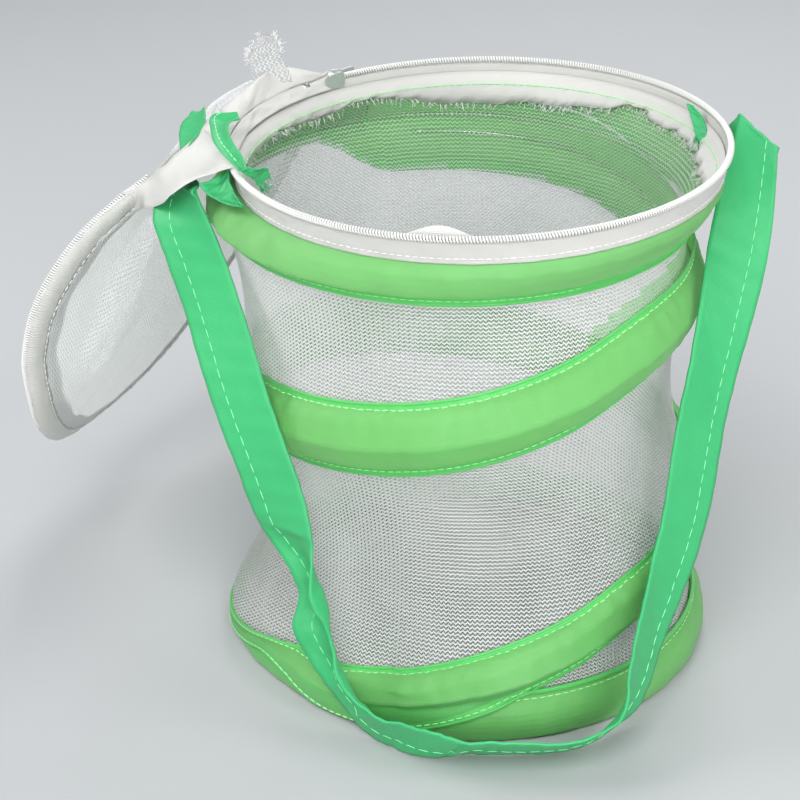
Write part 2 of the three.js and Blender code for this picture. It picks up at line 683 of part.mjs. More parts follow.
const SLIDER_INNER = TEETH_RADIUS - SLIDER_GAP / 2;
const SLIDER_OUTER = TEETH_RADIUS + SLIDER_GAP / 2;
const SLIDER_BASE = RIM_TAPE_HEIGHT - 3.7;

const wasm = await Module();
wasm.setup();

function toManifold(geometry) {
  const bare = geometry.clone();
  bare.deleteAttribute("normal");
  bare.deleteAttribute("uv");
  const merged = mergeVertices(bare, 1e-4);
  const vertProperties = new Float32Array(merged.attributes.position.array);
  const triVerts = new Uint32Array(merged.index.array);
  return new wasm.Manifold(new wasm.Mesh({ numProp: 3, vertProperties, triVerts }));
}

// One body out of overlapping closed ones.
function fused(geometries) {
  const joined = geometries.map(toManifold).reduce((a, b) => a.add(b));
  const { vertProperties, triVerts } = joined.getMesh();
  const geometry = new THREE.BufferGeometry();
  geometry.setAttribute("position", new THREE.BufferAttribute(vertProperties, 3));
  geometry.setIndex(new THREE.BufferAttribute(triVerts, 1));
  return geometry;
}

function block(low, high) {
  const box = new THREE.BoxGeometry(high[0] - low[0], high[1] - low[1], high[2] - low[2]);
  return box.translate((low[0] + high[0]) / 2, (low[1] + high[1]) / 2, (low[2] + high[2]) / 2);
}

// Stands a flat shape, drawn along the zip and up, square to the radius between two radii.
function standing(shape, inner, outer, height) {
  const plate = new THREE.ExtrudeGeometry(shape, { depth: outer - inner, bevelEnabled: false, curveSegments: 4 });
  return plate.rotateX(Math.PI / 2).rotateZ(Math.PI / 2).translate(inner, 0, height);
}

function shieldShape() {
  const half = SLIDER_LENGTH / 2;
  const shape = new THREE.Shape();
  shape.moveTo(-half, SLIDER_SKIRT * 0.2);
  shape.quadraticCurveTo(-half, 0, -half * 0.4, 0);
  shape.lineTo(half * 0.5, SLIDER_SKIRT * 0.12);
  shape.quadraticCurveTo(half, SLIDER_SKIRT * 0.3, half, SLIDER_SKIRT * 0.5);
  shape.quadraticCurveTo(half, SLIDER_SKIRT * 0.7, half * 0.5, SLIDER_SKIRT * 0.88);
  shape.lineTo(-half * 0.4, SLIDER_SKIRT);
  shape.quadraticCurveTo(-half, SLIDER_SKIRT, -half, SLIDER_SKIRT * 0.8);
  return shape;
}

const SLIDER_CROWN_HALF = 3.3;
const CROWN_POST = 0.9;
const CROWN_WIDTH = 2;
const PULL_HEIGHT = SLIDER_BASE + SLIDER_SKIRT / 2;
const PULL_RADIUS = SLIDER_OUTER + SLIDER_PLATE + 1.1;
const CROWN_INNER = PULL_RADIUS + 1;
const CROWN_OUTER = CROWN_INNER + 0.9;

// Two plates straddle the coils, joined by a web between the coils. A crown on the outer plate holds the pull.
function makeSlider() {
  const carrier = new THREE.Group();
  carrier.rotation.z = SLIDER_TURN * RAD;
  rim.add(carrier);
  const web = RIM_TAPE_HEIGHT + COIL_DIAMETER / 2 + LAYER_GAP;
  const webTop = LID_COIL_HEIGHT - COIL_DIAMETER / 2 - LAYER_GAP;
  const bite = SLIDER_PLATE / 2;
  const low = PULL_HEIGHT - CROWN_WIDTH / 2;
  const high = PULL_HEIGHT + CROWN_WIDTH / 2;
  const plateOut = SLIDER_OUTER + bite;
  const parts = [
    standing(shieldShape(), SLIDER_INNER - SLIDER_PLATE, SLIDER_INNER, SLIDER_BASE),
    standing(shieldShape(), SLIDER_OUTER, SLIDER_OUTER + SLIDER_PLATE, SLIDER_BASE),
    block([SLIDER_INNER - bite, -1.5, web], [plateOut, 2.4, webTop]),
    block([plateOut, -SLIDER_CROWN_HALF, low], [CROWN_OUTER, CROWN_POST - SLIDER_CROWN_HALF, high]),
    block([plateOut, SLIDER_CROWN_HALF - CROWN_POST, low], [CROWN_OUTER, SLIDER_CROWN_HALF, high]),
    block([CROWN_INNER, -SLIDER_CROWN_HALF + 0.2, low + 0.1], [CROWN_OUTER + 0.1, SLIDER_CROWN_HALF - 0.2, high - 0.1]),
  ];
  addPiece(carrier, "zip_slider", fused(parts), "alloy");
  const half = PULL_WIDTH / 2;
  const shape = new THREE.Shape();
  shape.moveTo(PULL_PIN / 2, -half);
  shape.lineTo(PULL_PIN / 2, half);
  shape.lineTo(-PULL_LENGTH * 0.45, half);
  shape.lineTo(-PULL_LENGTH * 0.55, half * 0.72);
  shape.lineTo(-PULL_LENGTH + half * 0.72, half * 0.86);
  shape.quadraticCurveTo(-PULL_LENGTH, half * 0.86, -PULL_LENGTH, 0);
  shape.quadraticCurveTo(-PULL_LENGTH, -half * 0.86, -PULL_LENGTH + half * 0.72, -half * 0.86);
  shape.lineTo(-PULL_LENGTH * 0.55, -half * 0.72);
  shape.lineTo(-PULL_LENGTH * 0.45, -half);
  const slot = CROWN_WIDTH / 2 + LAYER_GAP;
  const window = new THREE.Path();
  window.moveTo(-PULL_PIN / 2, -slot);
  window.lineTo(-SLIDER_CROWN_HALF - 2 * LAYER_GAP - 0.4, -slot);
  window.lineTo(-SLIDER_CROWN_HALF - 2 * LAYER_GAP - 0.4, slot);
  window.lineTo(-PULL_PIN / 2, slot);
  shape.holes.push(window);
  const inner = PULL_RADIUS - PULL_THICKNESS / 2;
  addPiece(carrier, "pull_tab", standing(shape, inner, inner + PULL_THICKNESS, PULL_HEIGHT), "alloy");
}

// The carry strap's two edges, at stations from its left end to its right one: x, y, z of each.
const STRAP_EDGES = [
  [-114.2, 3.5, 203.5, -111.8, -20.5, 202.8], [-119.5, 3.0, 205.8, -113.5, -21.0, 205.2],
  [-124.8, 2.2, 200.2, -112.2, -18.2, 206.8], [-131.1, -9.1, 191.7, -112.5, -18.9, 205.3],
  [-125.3, -23.3, 179.1, -105.1, -28.7, 192.9], [-117.5, -33.6, 162.0, -96.5, -38.4, 174.8],
  [-109.6, -48.9, 144.1, -88.4, -53.1, 156.9], [-101.4, -62.7, 125.7, -80.6, -68.3, 138.3],
  [-94.6, -69.3, 110.4, -73.4, -76.7, 121.6], [-88.0, -73.6, 93.2, -66.8, -82.4, 103.0],
  [-81.2, -75.2, 79.3, -63.8, -86.8, 88.7], [-74.5, -79.0, 70.2, -63.5, -91.0, 77.8],
  [-69.5, -83.5, 58.7, -63.5, -96.5, 63.3], [-71.8, -87.2, 45.7, -57.2, -96.8, 50.3],
  [-67.1, -87.0, 33.1, -54.9, -99.0, 40.9], [-59.4, -91.0, 22.4, -53.6, -103.0, 33.6],
  [-51.7, -95.7, 13.0, -48.3, -110.3, 28.0], [-43.2, -99.8, 5.6, -41.8, -116.2, 22.8],
  [-32.7, -103.6, 1.6, -35.3, -120.4, 19.9], [-22.4, -107.2, 1.6, -25.6, -124.8, 19.0],
  [-9.8, -108.4, 1.6, -10.2, -126.6, 18.6], [5.4, -107.7, 1.6, 6.6, -125.3, 19.3],
  [21.4, -106.1, 1.6, 22.6, -124.9, 18.1], [34.9, -104.9, 1.6, 37.1, -124.1, 17.6],
  [46.3, -101.7, 3.0, 50.7, -120.3, 19.0], [56.8, -96.1, 5.8, 59.2, -113.9, 23.2],
  [67.0, -90.6, 12.1, 62.0, -108.4, 28.9], [72.7, -84.0, 23.1, 62.3, -102.0, 36.9],
  [76.9, -77.5, 36.0, 65.1, -94.5, 50.0], [82.7, -70.5, 48.0, 68.3, -85.5, 62.0],
  [89.4, -62.3, 65.3, 71.6, -75.7, 76.7], [94.7, -54.6, 85.2, 75.3, -68.4, 92.8],
  [99.1, -46.9, 117.8, 78.9, -60.1, 124.2], [103.0, -41.7, 139.2, 83.0, -53.3, 148.8],
  [109.3, -30.1, 159.3, 87.7, -35.9, 170.7], [115.3, -14.3, 176.9, 91.7, -13.7, 185.1],
  [117.8, -3.9, 193.0, 97.2, 7.9, 201.0], [120.0, 14.5, 212.0, 106.0, 34.0, 220.0],
  [120.3, 15.6, 213.2, 106.3, 35.2, 221.0], [118.6, 16.6, 210.6, 104.8, 36.0, 218.2],
  [110.5, 19.5, 205.5, 100.5, 41.0, 211.5], [102.0, 21.5, 202.5, 95.2, 45.5, 206.5],
];
const STRAP_STEPS = 82;

// Where the strap is squeezed narrower than it is wide, its middle stands out in a soft fold.
function foldDepth(width) {
  return Math.sqrt(0.375 * width * Math.max(STRAP_WIDTH - width, 0)) + STRAP_CROWN;
}

function makeStrap() {
  const edge = (first) => {
    const points = STRAP_EDGES.map((s) => new THREE.Vector3(s[first], s[first + 1], s[first + 2]));
    return new THREE.CatmullRomCurve3(points, false, "centripetal");
  };
  const left = edge(0);
  const right = edge(3);
  const rows = [];
  for (let i = 0; i <= STRAP_STEPS; i++) {
    const a = left.getPoint(i / STRAP_STEPS);
    const b = right.getPoint(i / STRAP_STEPS);
    const run = left.getTangent(i / STRAP_STEPS).add(right.getTangent(i / STRAP_STEPS));
    const out = b.clone().sub(a).cross(run).normalize();
    const middle = a.clone().lerp(b, 0.5).addScaledVector(out, foldDepth(a.distanceTo(b)));
    rows.push([a, middle, b]);
  }
  addPiece(cage, "carry_strap", sheet(rows, WEBBING_THICKNESS, false), "webbing");
}

// The strap's end, turned under and stitched flat on the hoop's sleeve.
function makeStrapTab(name, turn) {
  const offset = SLEEVE_THICKNESS / 2 + 1.5 * LAYER_GAP + WEBBING_THICKNESS / 2;
  const rows = turnsBetween(turn - TAB_HALF_TURN, turn + TAB_HALF_TURN, STEP).map((t) => {
    return [0.25, 0.5, 0.75].map((share) => hoopSleevePoint(t, share, offset));
  });
  addPiece(cage, name, sheet(rows, WEBBING_THICKNESS, false), "webbing");
}

makeWall();
makeSpiral();
makeHoop();
makeFerrule("hoop_ferrule", HOOP_FERRULE_TURN, onWall(HOOP_FERRULE_TURN, HOOP_HEIGHT, WIRE_ON_WALL));
makeBase();
makeRimZip();
makeFacing();
makeZipStop("zip_stop_back", ZIP_START + ZIP_STOP_GAP);
makeZipStop("zip_stop_front", ZIP_END - ZIP_STOP_GAP);
makeLid();
makeHinge();
makeTail();
makeSlider();
makeStrapTab("strap_tab_left", LEFT_TAB_TURN);
makeStrapTab("strap_tab_right", RIGHT_TAB_TURN);
makeStrap();

export default cage;
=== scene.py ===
import math

import bpy
import numpy as np
from mathutils import Matrix, Vector


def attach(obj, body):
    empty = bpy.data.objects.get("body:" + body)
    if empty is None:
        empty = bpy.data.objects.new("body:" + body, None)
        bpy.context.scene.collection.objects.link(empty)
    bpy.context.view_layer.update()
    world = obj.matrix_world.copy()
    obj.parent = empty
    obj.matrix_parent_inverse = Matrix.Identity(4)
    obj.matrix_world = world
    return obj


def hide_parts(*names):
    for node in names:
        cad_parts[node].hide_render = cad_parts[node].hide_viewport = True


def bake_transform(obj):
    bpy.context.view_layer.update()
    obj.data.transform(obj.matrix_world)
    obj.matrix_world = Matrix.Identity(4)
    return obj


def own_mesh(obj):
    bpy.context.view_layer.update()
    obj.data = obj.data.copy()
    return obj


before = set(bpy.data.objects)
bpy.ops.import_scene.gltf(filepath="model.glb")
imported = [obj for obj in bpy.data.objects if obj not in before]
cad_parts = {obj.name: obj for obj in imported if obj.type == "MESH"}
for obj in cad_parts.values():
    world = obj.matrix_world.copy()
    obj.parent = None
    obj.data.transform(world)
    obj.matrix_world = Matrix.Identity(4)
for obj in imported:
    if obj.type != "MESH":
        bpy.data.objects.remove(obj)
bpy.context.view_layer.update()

# The net wall
# One tube of white knitted polyester net, sewn to the mouth's tape above and to the base ring's sleeve below.
# The wires hold it out and it draws in between them. All sizes are millimetres, and a turn is in degrees,
# seen from above and counted from the cage's right side.

MM = 0.001
RAD = math.pi / 180
HOOP_Z, HOOP_WIDE = 194.0, 20.2
SEAM_Z = 209.3
BASE_TOP, HEM_LOWEST = 20.6, 7
SEAM_R, TEETH_R, TEETH_Z = 97.8, 100.1, 9.9
MOUTH_AT, HOOP_AT, BASE_AT = (-0.5, 4.8), (-11.8, 8.2), (0, 0)
MOUTH_WALL_R, HOOP_WALL_R, SPIRAL_WALL_R, BASE_WALL_R = 96.75, 94.9, 96, 94.4
WAIST_DEPTH, WAIST_SPAN, WAIST_MOST = 8, 88, 11
NET_THICK = 0.35
LEAN = np.array([-0.03, 0.025])
RIM = Matrix.Translation((*MOUTH_AT, SEAM_Z)) @ Matrix.Rotation(-1.55 * RAD, 4, "Y")

# The spiral's wire: its turn, and its height as a share of the hoop's.
SPIRAL = [(112.5, .969), (60, .943), (22, .871), (-20, .835), (-45, .809), (-67, .753), (-91, .7),
          (-120, .657), (-150, .624), (-210, .557), (-270, .479), (-340, .387), (-405, .294),
          (-425, .232), (-448, .165), (-466, .116), (-487.5, .078), (-520, .052), (-555, .04)]

turns = np.arange(0, 360, 1.5)
heights = [1.2] + np.linspace(4, 204, 81).tolist()


def smooth(a, b, x):
    s = np.clip((x - a) / (b - a), 0, 1)
    return s * s * (3 - 2 * s)


def spiral_height(turn):
    i = 0
    while i < len(SPIRAL) - 2 and turn < SPIRAL[i + 1][0]:
        i += 1

    def slope(k):
        a, b = SPIRAL[max(k - 1, 0)], SPIRAL[min(k + 1, len(SPIRAL) - 1)]
        return (b[1] - a[1]) / (b[0] - a[0])

    (t0, z0), (t1, z1) = SPIRAL[i], SPIRAL[i + 1]
    s, span = (turn - t0) / (t1 - t0), t1 - t0
    share = ((2 * s ** 3 - 3 * s ** 2 + 1) * z0 + (s ** 3 - 2 * s ** 2 + s) * span * slope(i)
             + (3 * s ** 2 - 2 * s ** 3) * z1 + (s ** 3 - s ** 2) * span * slope(i + 1))
    return share * HOOP_Z


def from_axis(turn, dx, dy, radius):
    c, s = math.cos(turn * RAD), math.sin(turn * RAD)
    return dx * c + dy * s + math.sqrt(radius ** 2 - (dy * c - dx * s) ** 2)


# The distance from the leaning axis to a ring of the wall whose centre is at x, y and whose height is z.
def ring_radius(turn, place, z, radius):
    return from_axis(turn, place[0] - LEAN[0] * z, place[1] - LEAN[1] * z, radius)


def polar(turn, radius, height):
    return (radius * math.cos(turn * RAD), radius * math.sin(turn * RAD), height)


def mouth_height(turn):
    return (RIM @ Vector(polar(turn, SEAM_R, -0.35))).z


def wrap(turn):
    return (turn + 180) % 360 - 180


# Every wire that holds the wall out at a turn, from the bottom up, as heights and radii.
def holders(turn):
    found = [(BASE_TOP, ring_radius(turn, BASE_AT, BASE_TOP, BASE_WALL_R))]
    for lap in (-1, 0):
        t = turn + 360 * lap
        if SPIRAL[-1][0] <= t <= SPIRAL[0][0] and spiral_height(t) > BASE_TOP + 0.5:
            found.append((spiral_height(t), SPIRAL_WALL_R - 4 * math.exp(-((t - 5) / 55) ** 2)))
    found.append((HOOP_Z, ring_radius(turn, HOOP_AT, HOOP_Z, HOOP_WALL_R)))
    found.append((mouth_height(turn), ring_radius(turn, MOUTH_AT, SEAM_Z, MOUTH_WALL_R)))
    return found


def wall_radius(turn, height):
    turn = wrap(turn)
    if height <= BASE_TOP:
        return ring_radius(turn, BASE_AT, height, BASE_WALL_R)
    found = holders(turn)
    i = 0
    while i < len(found) - 2 and height > found[i + 1][0]:
        i += 1
    (low, r0), (high, r1) = found[i], found[i + 1]
    share = (height - low) / (high - low)
    depth = min(WAIST_DEPTH * ((high - low) / WAIST_SPAN) ** 2, WAIST_MOST)
    return r0 + (r1 - r0) * share - depth * 4 * share * (1 - share)


# The radii are kept, because every sleeve asks for the same ones.
WALL_R = {}


def wall_r(turn, height):
    key = (round(wrap(turn), 2), round(height, 1))
    if key not in WALL_R:
        WALL_R[key] = wall_radius(*key)
    return WALL_R[key]


def on_wall(turn, height, out=0.0):
    x, y, z = polar(turn, wall_r(turn, height) + out, height)
    return np.array([x + LEAN[0] * height, y + LEAN[1] * height, z])


# A wave without a plain rhythm, for cloth that isn't quite smooth.
def ripple(a, b, seed):
    k = np.array([[1.1, 0.7], [2.3, -1.3], [3.7, 2.1], [5.9, 0.9]]) * (1 + 0.13 * math.sin(seed))
    return sum(math.sin(k[i, 0] * a + k[i, 1] * b + seed * (i + 1.7)) / (i + 1.5) for i in range(4))


def hoop_low(turn):
    turn = wrap(turn)
    flat = SEAM_Z - HOOP_WIDE
    if -60 <= turn <= 116:
        return max(flat, min(spiral_height(min(turn, 112.5)) + 17.8, mouth_height(turn) - 2.6))
    return flat


# At the left the base ring's hem has slumped to the floor and the net bulges out over it.
def hem_height(turn):
    at = [130, 160, 186, 192, 198, 204, 210, 216, 222]
    return float(np.interp(turn % 360, at, [BASE_TOP, 8, HEM_LOWEST, 8, 10, 12.5, 15.5, 18, BASE_TOP]))


def slump(turn):
    return (BASE_TOP - hem_height(turn)) / (BASE_TOP - HEM_LOWEST)


def flare(turn, z):
    return slump(turn) * float(12.0 - 7.5 * smooth(7, 28, z)) * float(1 - smooth(22, 62, z))


# Where a green sleeve lies behind the net, the green light it lets through is painted into the yarn's colour.
def over_green(turn, z):
    if z > hoop_low(turn) + 2:
        return True
    for lap in (0, 1, 2):
        t = turn - 360 * lap
        low = 13 * smooth(113, 129, t) - 14
        high = (22 if t > -60 else 14) - 9.5 * smooth(-372, -402, t)
        if SPIRAL[-3][0] <= t <= 130 and low < z - spiral_height(t) < high:
            return True
    return False


def srgb(text):
    parts = [int(text[i:i + 2], 16) / 255 for i in (1, 3, 5)]
    return tuple([c / 12.92 if c <= 0.04045 else ((c + 0.055) / 1.055) ** 2.4 for c in parts] + [1.0])


# A node with its settings and inputs. An input is a value, a socket, or a node whose first output is taken.
def add(tree, kind, inputs, **settings):
    node = tree.nodes.new("ShaderNode" + kind)
    for key, value in settings.items():
        setattr(node, key, value)
    for key, value in inputs.items():
        if isinstance(value, bpy.types.Node):
            value = value.outputs[0]
        if isinstance(value, bpy.types.NodeSocket):
            tree.links.new(value, node.inputs[key])
        else:
            node.inputs[key].default_value = value
    return node


def new_material(name, color, roughness, **sockets):
    material = bpy.data.materials.new(name)
    material.use_nodes = True
    shader = material.node_tree.nodes["Principled BSDF"]
    shader.inputs["Base Color"].default_value = srgb(color)
    shader.inputs["Roughness"].default_value = roughness
    for key, value in sockets.items():
        shader.inputs[key.replace("_", " ")].default_value = value
    return material, material.node_tree, shader


# Cloth this thin passes a share of the light, tinted by its dye.
def let_light_through(tree, shader, color, share):
    glow = add(tree, "BsdfTranslucent", {"Color": srgb(color)})
    both = add(tree, "MixShader", {0: share, 1: shader, 2: glow})
    tree.links.new(both.outputs[0], tree.nodes["Material Output"].inputs[0])


# Warp-knitted net of matt white yarn: zig-zag courses with slits between them, drawn in the UV map's
# millimetres. A period is one zig-zag and a course is one row. A window is where the net is stretched thin.
def knitted_net(name, period, course, cover, window=None, color="#E2E3E2", glow="#EDEEED", share=0.4):
    material, tree, shader = new_material(name, color, 0.75)
    shader.inputs["Sheen Weight"].default_value = 0.2
    uv = add(tree, "TexCoord", {}).outputs["UV"]
    wander = add(tree, "TexNoise", {"Vector": uv, "Scale": 0.22, "Detail": 2.0})
    moved = add(tree, "VectorMath", {0: wander.outputs[1], 1: (0.6, 0.55, 0)}, operation="MULTIPLY")
    place = add(tree, "VectorMath", {0: uv, 1: moved}, operation="ADD")
    split = add(tree, "SeparateXYZ", {0: place})
    across = add(tree, "Math", {0: split.outputs[0], 1: period}, operation="DIVIDE")
    zigzag = add(tree, "Math", {0: across, 1: 0.5}, operation="PINGPONG")
    climb = add(tree, "Math", {0: zigzag, 1: 1.35}, operation="MULTIPLY")
    along = add(tree, "Math", {0: split.outputs[1], 1: 1 / course, 2: climb}, operation="MULTIPLY_ADD")
    row = add(tree, "Math", {0: along}, operation="FRACT")
    off = add(tree, "Math", {0: row, 1: 0.5}, operation="SUBTRACT")
    gap = add(tree, "Math", {0: off}, operation="ABSOLUTE")
    beside = add(tree, "Math", {0: zigzag, 1: 0.25}, operation="SUBTRACT")
    corner = add(tree, "Math", {0: beside}, operation="ABSOLUTE")
    corner = add(tree, "Math", {0: corner, 1: 4.0}, operation="MULTIPLY")
    corner = add(tree, "Math", {0: corner, 1: 3.0}, operation="POWER")
    knot = add(tree, "Math", {0: corner, 1: 0.11}, operation="MULTIPLY")
    patchy = add(tree, "TexNoise", {"Vector": uv, "Scale": 0.045, "Detail": 2.0})
    yarn = add(tree, "Math", {0: patchy, 1: 0.16, 2: cover / 2 - 0.08}, operation="MULTIPLY_ADD")
    width = add(tree, "Math", {0: yarn, 1: knot}, operation="ADD")
    if window:
        x, y, angle, long, wide = window
        offset = add(tree, "VectorMath", {0: uv, 1: (-x, -y, 0)}, operation="ADD")
        turned = add(tree, "VectorRotate", {0: offset, 3: -angle * RAD}, rotation_type="Z_AXIS")
        scaled = add(tree, "VectorMath", {0: turned, 1: (1 / long, 1 / wide, 0)}, operation="MULTIPLY")
        far = add(tree, "VectorMath", {0: scaled}, operation="LENGTH").outputs[1]
        inner = add(tree, "Math", {0: far, 1: 0.25}, operation="SUBTRACT")
        ragged = add(tree, "TexNoise", {"Vector": uv, "Scale": 0.09, "Detail": 3.0})
        far = add(tree, "Math", {0: ragged, 1: 0.5, 2: inner}, operation="MULTIPLY_ADD")
        dense = add(tree, "MapRange", {0: far, 1: 0.85, 2: 1.2, 3: 0.0, 4: 0.22})
        width = add(tree, "Math", {0: width, 1: dense}, operation="ADD")
    edge = add(tree, "Math", {0: width, 1: gap}, operation="SUBTRACT")
    mask = add(tree, "MapRange", {0: edge, 1: -0.035, 2: 0.035, 3: 0.0, 4: 1.0})
    tree.links.new(mask.outputs[0], shader.inputs["Alpha"])
    passed = add(tree, "Math", {0: mask, 1: share}, operation="MULTIPLY")
    let_light_through(tree, shader, glow, passed)
    raised = add(tree, "Math", {0: edge, 1: 2.0}, operation="MULTIPLY")
    bump = add(tree, "Bump", {"Height": raised, "Distance": 0.0006, "Strength": 0.9})
    tree.links.new(bump.outputs[0], shader.inputs["Normal"])
    return material


net = knitted_net("white knitted net", 2.1, 1.66, 0.5)
# Painted light: the same white net with green light from a sleeve behind it painted into its colour.
net_painted_green_light = knitted_net("white knitted net, painted green light", 2.1, 1.66, 0.5, color="#C2E2C0", glow="#A6DCA2")


def new_piece(name, verts, faces, material, body, thickness=0.0, corners=None):
    mesh = bpy.data.meshes.new(name)
    mesh.from_pydata((np.asarray(verts, float) * MM).tolist(), [], faces)
    if corners is not None:
        layer = mesh.uv_layers.new(name="UVMap")
        layer.data.foreach_set("uv", np.asarray(corners, np.float32).ravel())
    mesh.validate()
    mesh.materials.append(material)
    for polygon in mesh.polygons:
        polygon.use_smooth = True
    piece = bpy.data.objects.new(name, mesh)
    bpy.context.collection.objects.link(piece)
    if thickness:
        solid = piece.modifiers.new("thickness", "SOLIDIFY")
        solid.thickness = thickness * MM
        solid.offset = 0.0
    if body:
        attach(piece, body)
    return piece


# A sheet of cloth through rows of points. A ring closes on itself. Without a map of its own, its UV map is
# its length and width in millimetres.
def surface(name, rows, material, body, ring=False, uv=None, thickness=0.0):
    rows = np.asarray(rows, float)
    n, m = rows.shape[:2]
    count = n if ring else n - 1
    faces = [(i * m + j, ((i + 1) % n) * m + j, ((i + 1) % n) * m + j + 1, i * m + j + 1)
             for i in range(count) for j in range(m - 1)]
    if uv is None:
        run = np.linalg.norm(np.diff(rows[:, m // 2], axis=0), axis=1)
        wide = np.linalg.norm(np.diff(rows[n // 2], axis=0), axis=1)
        u = np.concatenate([[0], np.cumsum(run)])
        v = np.concatenate([[0], np.cumsum(wide)])
        u = np.append(u, u[-1] + run.mean())
        uv = np.stack(np.meshgrid(u, v, indexing="ij"), axis=-1)
    corners = [uv[i + a, j + b] for i in range(count) for j in range(m - 1)
               for a, b in ((0, 0), (1, 0), (1, 1), (0, 1))]
    return new_piece(name, rows.reshape(-1, 3), faces, material, body, thickness, corners)


rows, uvs = [], []
for turn in np.append(turns, 360.0):
    top = mouth_height(turn)
    line = [min(z, top - 1.5) for z in heights] + [top]
    rows.append([on_wall(turn, z, flare(turn, z) + 0.22 * ripple(turn * 0.16, z * 0.09, 2)) for z in line])
    uvs.append([(turn / 360 * 288 * 2.1, z) for z in line])
wall = surface("wall_net", rows[:-1], net, "rim", ring=True, uv=np.array(uvs), thickness=NET_THICK)
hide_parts("wall_mesh")
# Where a sleeve lies behind, the wall's net gets the copy with painted green light.
wall.data.materials.append(net_painted_green_light)
for polygon in wall.data.polygons:
    i, k = divmod(polygon.index, len(heights))
    z = (heights[k] + heights[min(k + 1, len(heights) - 1)]) / 2
    polygon.material_index = int(over_green(turns[i], z))


# The spiral
# A spring wire in a sleeve of thin green polyester taffeta, wound down round the net. The sleeve is sewn to
# the net along both edges, where its hem is doubled. It starts in the mouth's seam and ends over the base.

CLOTH, WIRE_R, HEM_R, THREAD_R = 0.5, 0.8, 0.5, 0.27
SEAM_OUT, WIRE_OUT = 1.15, 1.6
SLEEVE_HALF, SLEEVE_BULGE = 16, 4.6
WEAVE_SCALE = 0.42

# The base ring's sleeve from its folded edge under the ring to its sewn edge, as radii and heights.
BASE = [(94.2, 0.4), (96.5, 0.35), (98.6, 0.5), (100.2, 1.9), (100.9, 4.2), (101.2, 7.0), (101.0, 9.8),
        (100.3, 12.4), (99.2, 14.6), (97.7, 16.6), (96.2, 17.9), (95.6, 18.7), (95.5, BASE_TOP)]


# Polyester taffeta: satin, with light showing through one layer. The threads are drawn 0.75 mm apart, coarser
# than they are, so that they show. Patches of about 36 mm and creases of about 10 mm vary it.
def taffeta(name, light, dark, glow, share=0.6):
    material, tree, shader = new_material(name, light, 0.46)
    shader.inputs["Sheen Weight"].default_value = 0.25
    place = add(tree, "TexCoord", {})
    patches = add(tree, "TexNoise", {"Vector": place.outputs["Object"], "Scale": 28.0, "Detail": 3.0})
    dye = add(tree, "Mix", {0: patches, 6: srgb(dark), 7: srgb(light)}, data_type="RGBA")
    tree.links.new(dye.outputs[2], shader.inputs["Base Color"])
    weave = add(tree, "TexWave", {"Vector": place.outputs["UV"], "Scale": WEAVE_SCALE, "Distortion": 0.4},
                bands_direction="Y")
    crumple = add(tree, "TexNoise", {"Vector": place.outputs["Object"], "Scale": 95.0, "Detail": 4.0})
    height = add(tree, "Math", {0: weave.outputs[1], 1: 0.06, 2: crumple}, operation="MULTIPLY_ADD")
    bump = add(tree, "Bump", {"Height": height, "Distance": 0.0011, "Strength": 0.75})
    tree.links.new(bump.outputs[0], shader.inputs["Normal"])
    let_light_through(tree, shader, glow, share)
    return material


# Painted shade: a darker copy that lets less light through. The hem's two layers are darker and let less
# through.
green = taffeta("green polyester taffeta", "#93D98B", "#83CF7F", "#B6E8A8")
painted_shade_green = taffeta("green taffeta, painted shade", "#70CC72", "#62BC64", "#94DA92", 0.4)
seam_green = taffeta("green taffeta hem", "#6CD474", "#5ECB69", "#9AE8A0", 0.4)

# Spun polyester thread is a matt light green. Drawn spring steel is bare and half bright.
thread = new_material("light green sewing thread", "#9CEA98", 0.6)[0]
steel = new_material("spring steel wire", "#B9BBBD", 0.35, Metallic=1.0)[0]


# One bar along points. Its section is round, or flattened by squash, and its corners count on from base.
def tube(points, radius, sides, ring=False, squash=1.0, base=0):
    points = np.asarray(points, float)
    n = len(points)
    run = np.roll(points, -1, 0) - np.roll(points, 1, 0)
    if not ring:
        run[0] = points[1] - points[0]
        run[-1] = points[-1] - points[-2]
    run /= np.linalg.norm(run, axis=1)[:, None]
    side = np.cross(run, [0, 0, 1.0])
    side[np.linalg.norm(side, axis=1) < 0.05] = [1, 0, 0]
    side /= np.linalg.norm(side, axis=1)[:, None]
    up = np.cross(side, run)
    radii = np.broadcast_to(np.asarray(radius, float), (n,))
    verts = []
    for s in range(sides):
        a = 2 * math.pi * s / sides
        out = side * (math.cos(a) * radii)[:, None] + up * (math.sin(a) * squash * radii)[:, None]
        verts.append(points + out)
    verts = np.stack(verts, 1).reshape(-1, 3)
    faces = []
    for i in range(n if ring else n - 1):
        here, there = base + i * sides, base + (i + 1) % n * sides
        for s in range(sides):
            t = (s + 1) % sides
            faces.append((here + s, here + t, there + t, there + s))
    if not ring:
        faces.append(tuple(base + s for s in range(sides))[::-1])
        faces.append(tuple(base + (n - 1) * sides + s for s in range(sides)))
    return verts.tolist(), faces


def tubes(name, lines, radius, sides, material, body, ring=False, squash=1.0):
    verts, faces = [], []
    for line in lines:
        v, f = tube(line, radius, sides, ring, squash, len(verts))
        verts += v
        faces += f
    return new_piece(name, verts, faces, material, body)


# Sewn thread: short raised dashes along a line of points.
def stitches(name, points, material, body, stitch=2.7, gap=0.7, radius=0.2):
    points = np.asarray(points, float)
    run = np.concatenate([[0], np.cumsum(np.linalg.norm(np.diff(points, axis=0), axis=1))])
    lines = []
    at = 0.0
    while at + stitch < run[-1]:
        spots = at + np.array([0, 0.2, 0.5, 0.8, 1]) * stitch
        lines.append(np.stack([np.interp(spots, run, points[:, k]) for k in range(3)], 1))
        at += stitch + gap
    radii = np.array([0.3, 0.95, 1.0, 0.95, 0.3]) * radius
    return tubes(name, lines, radii, 6, material, body)


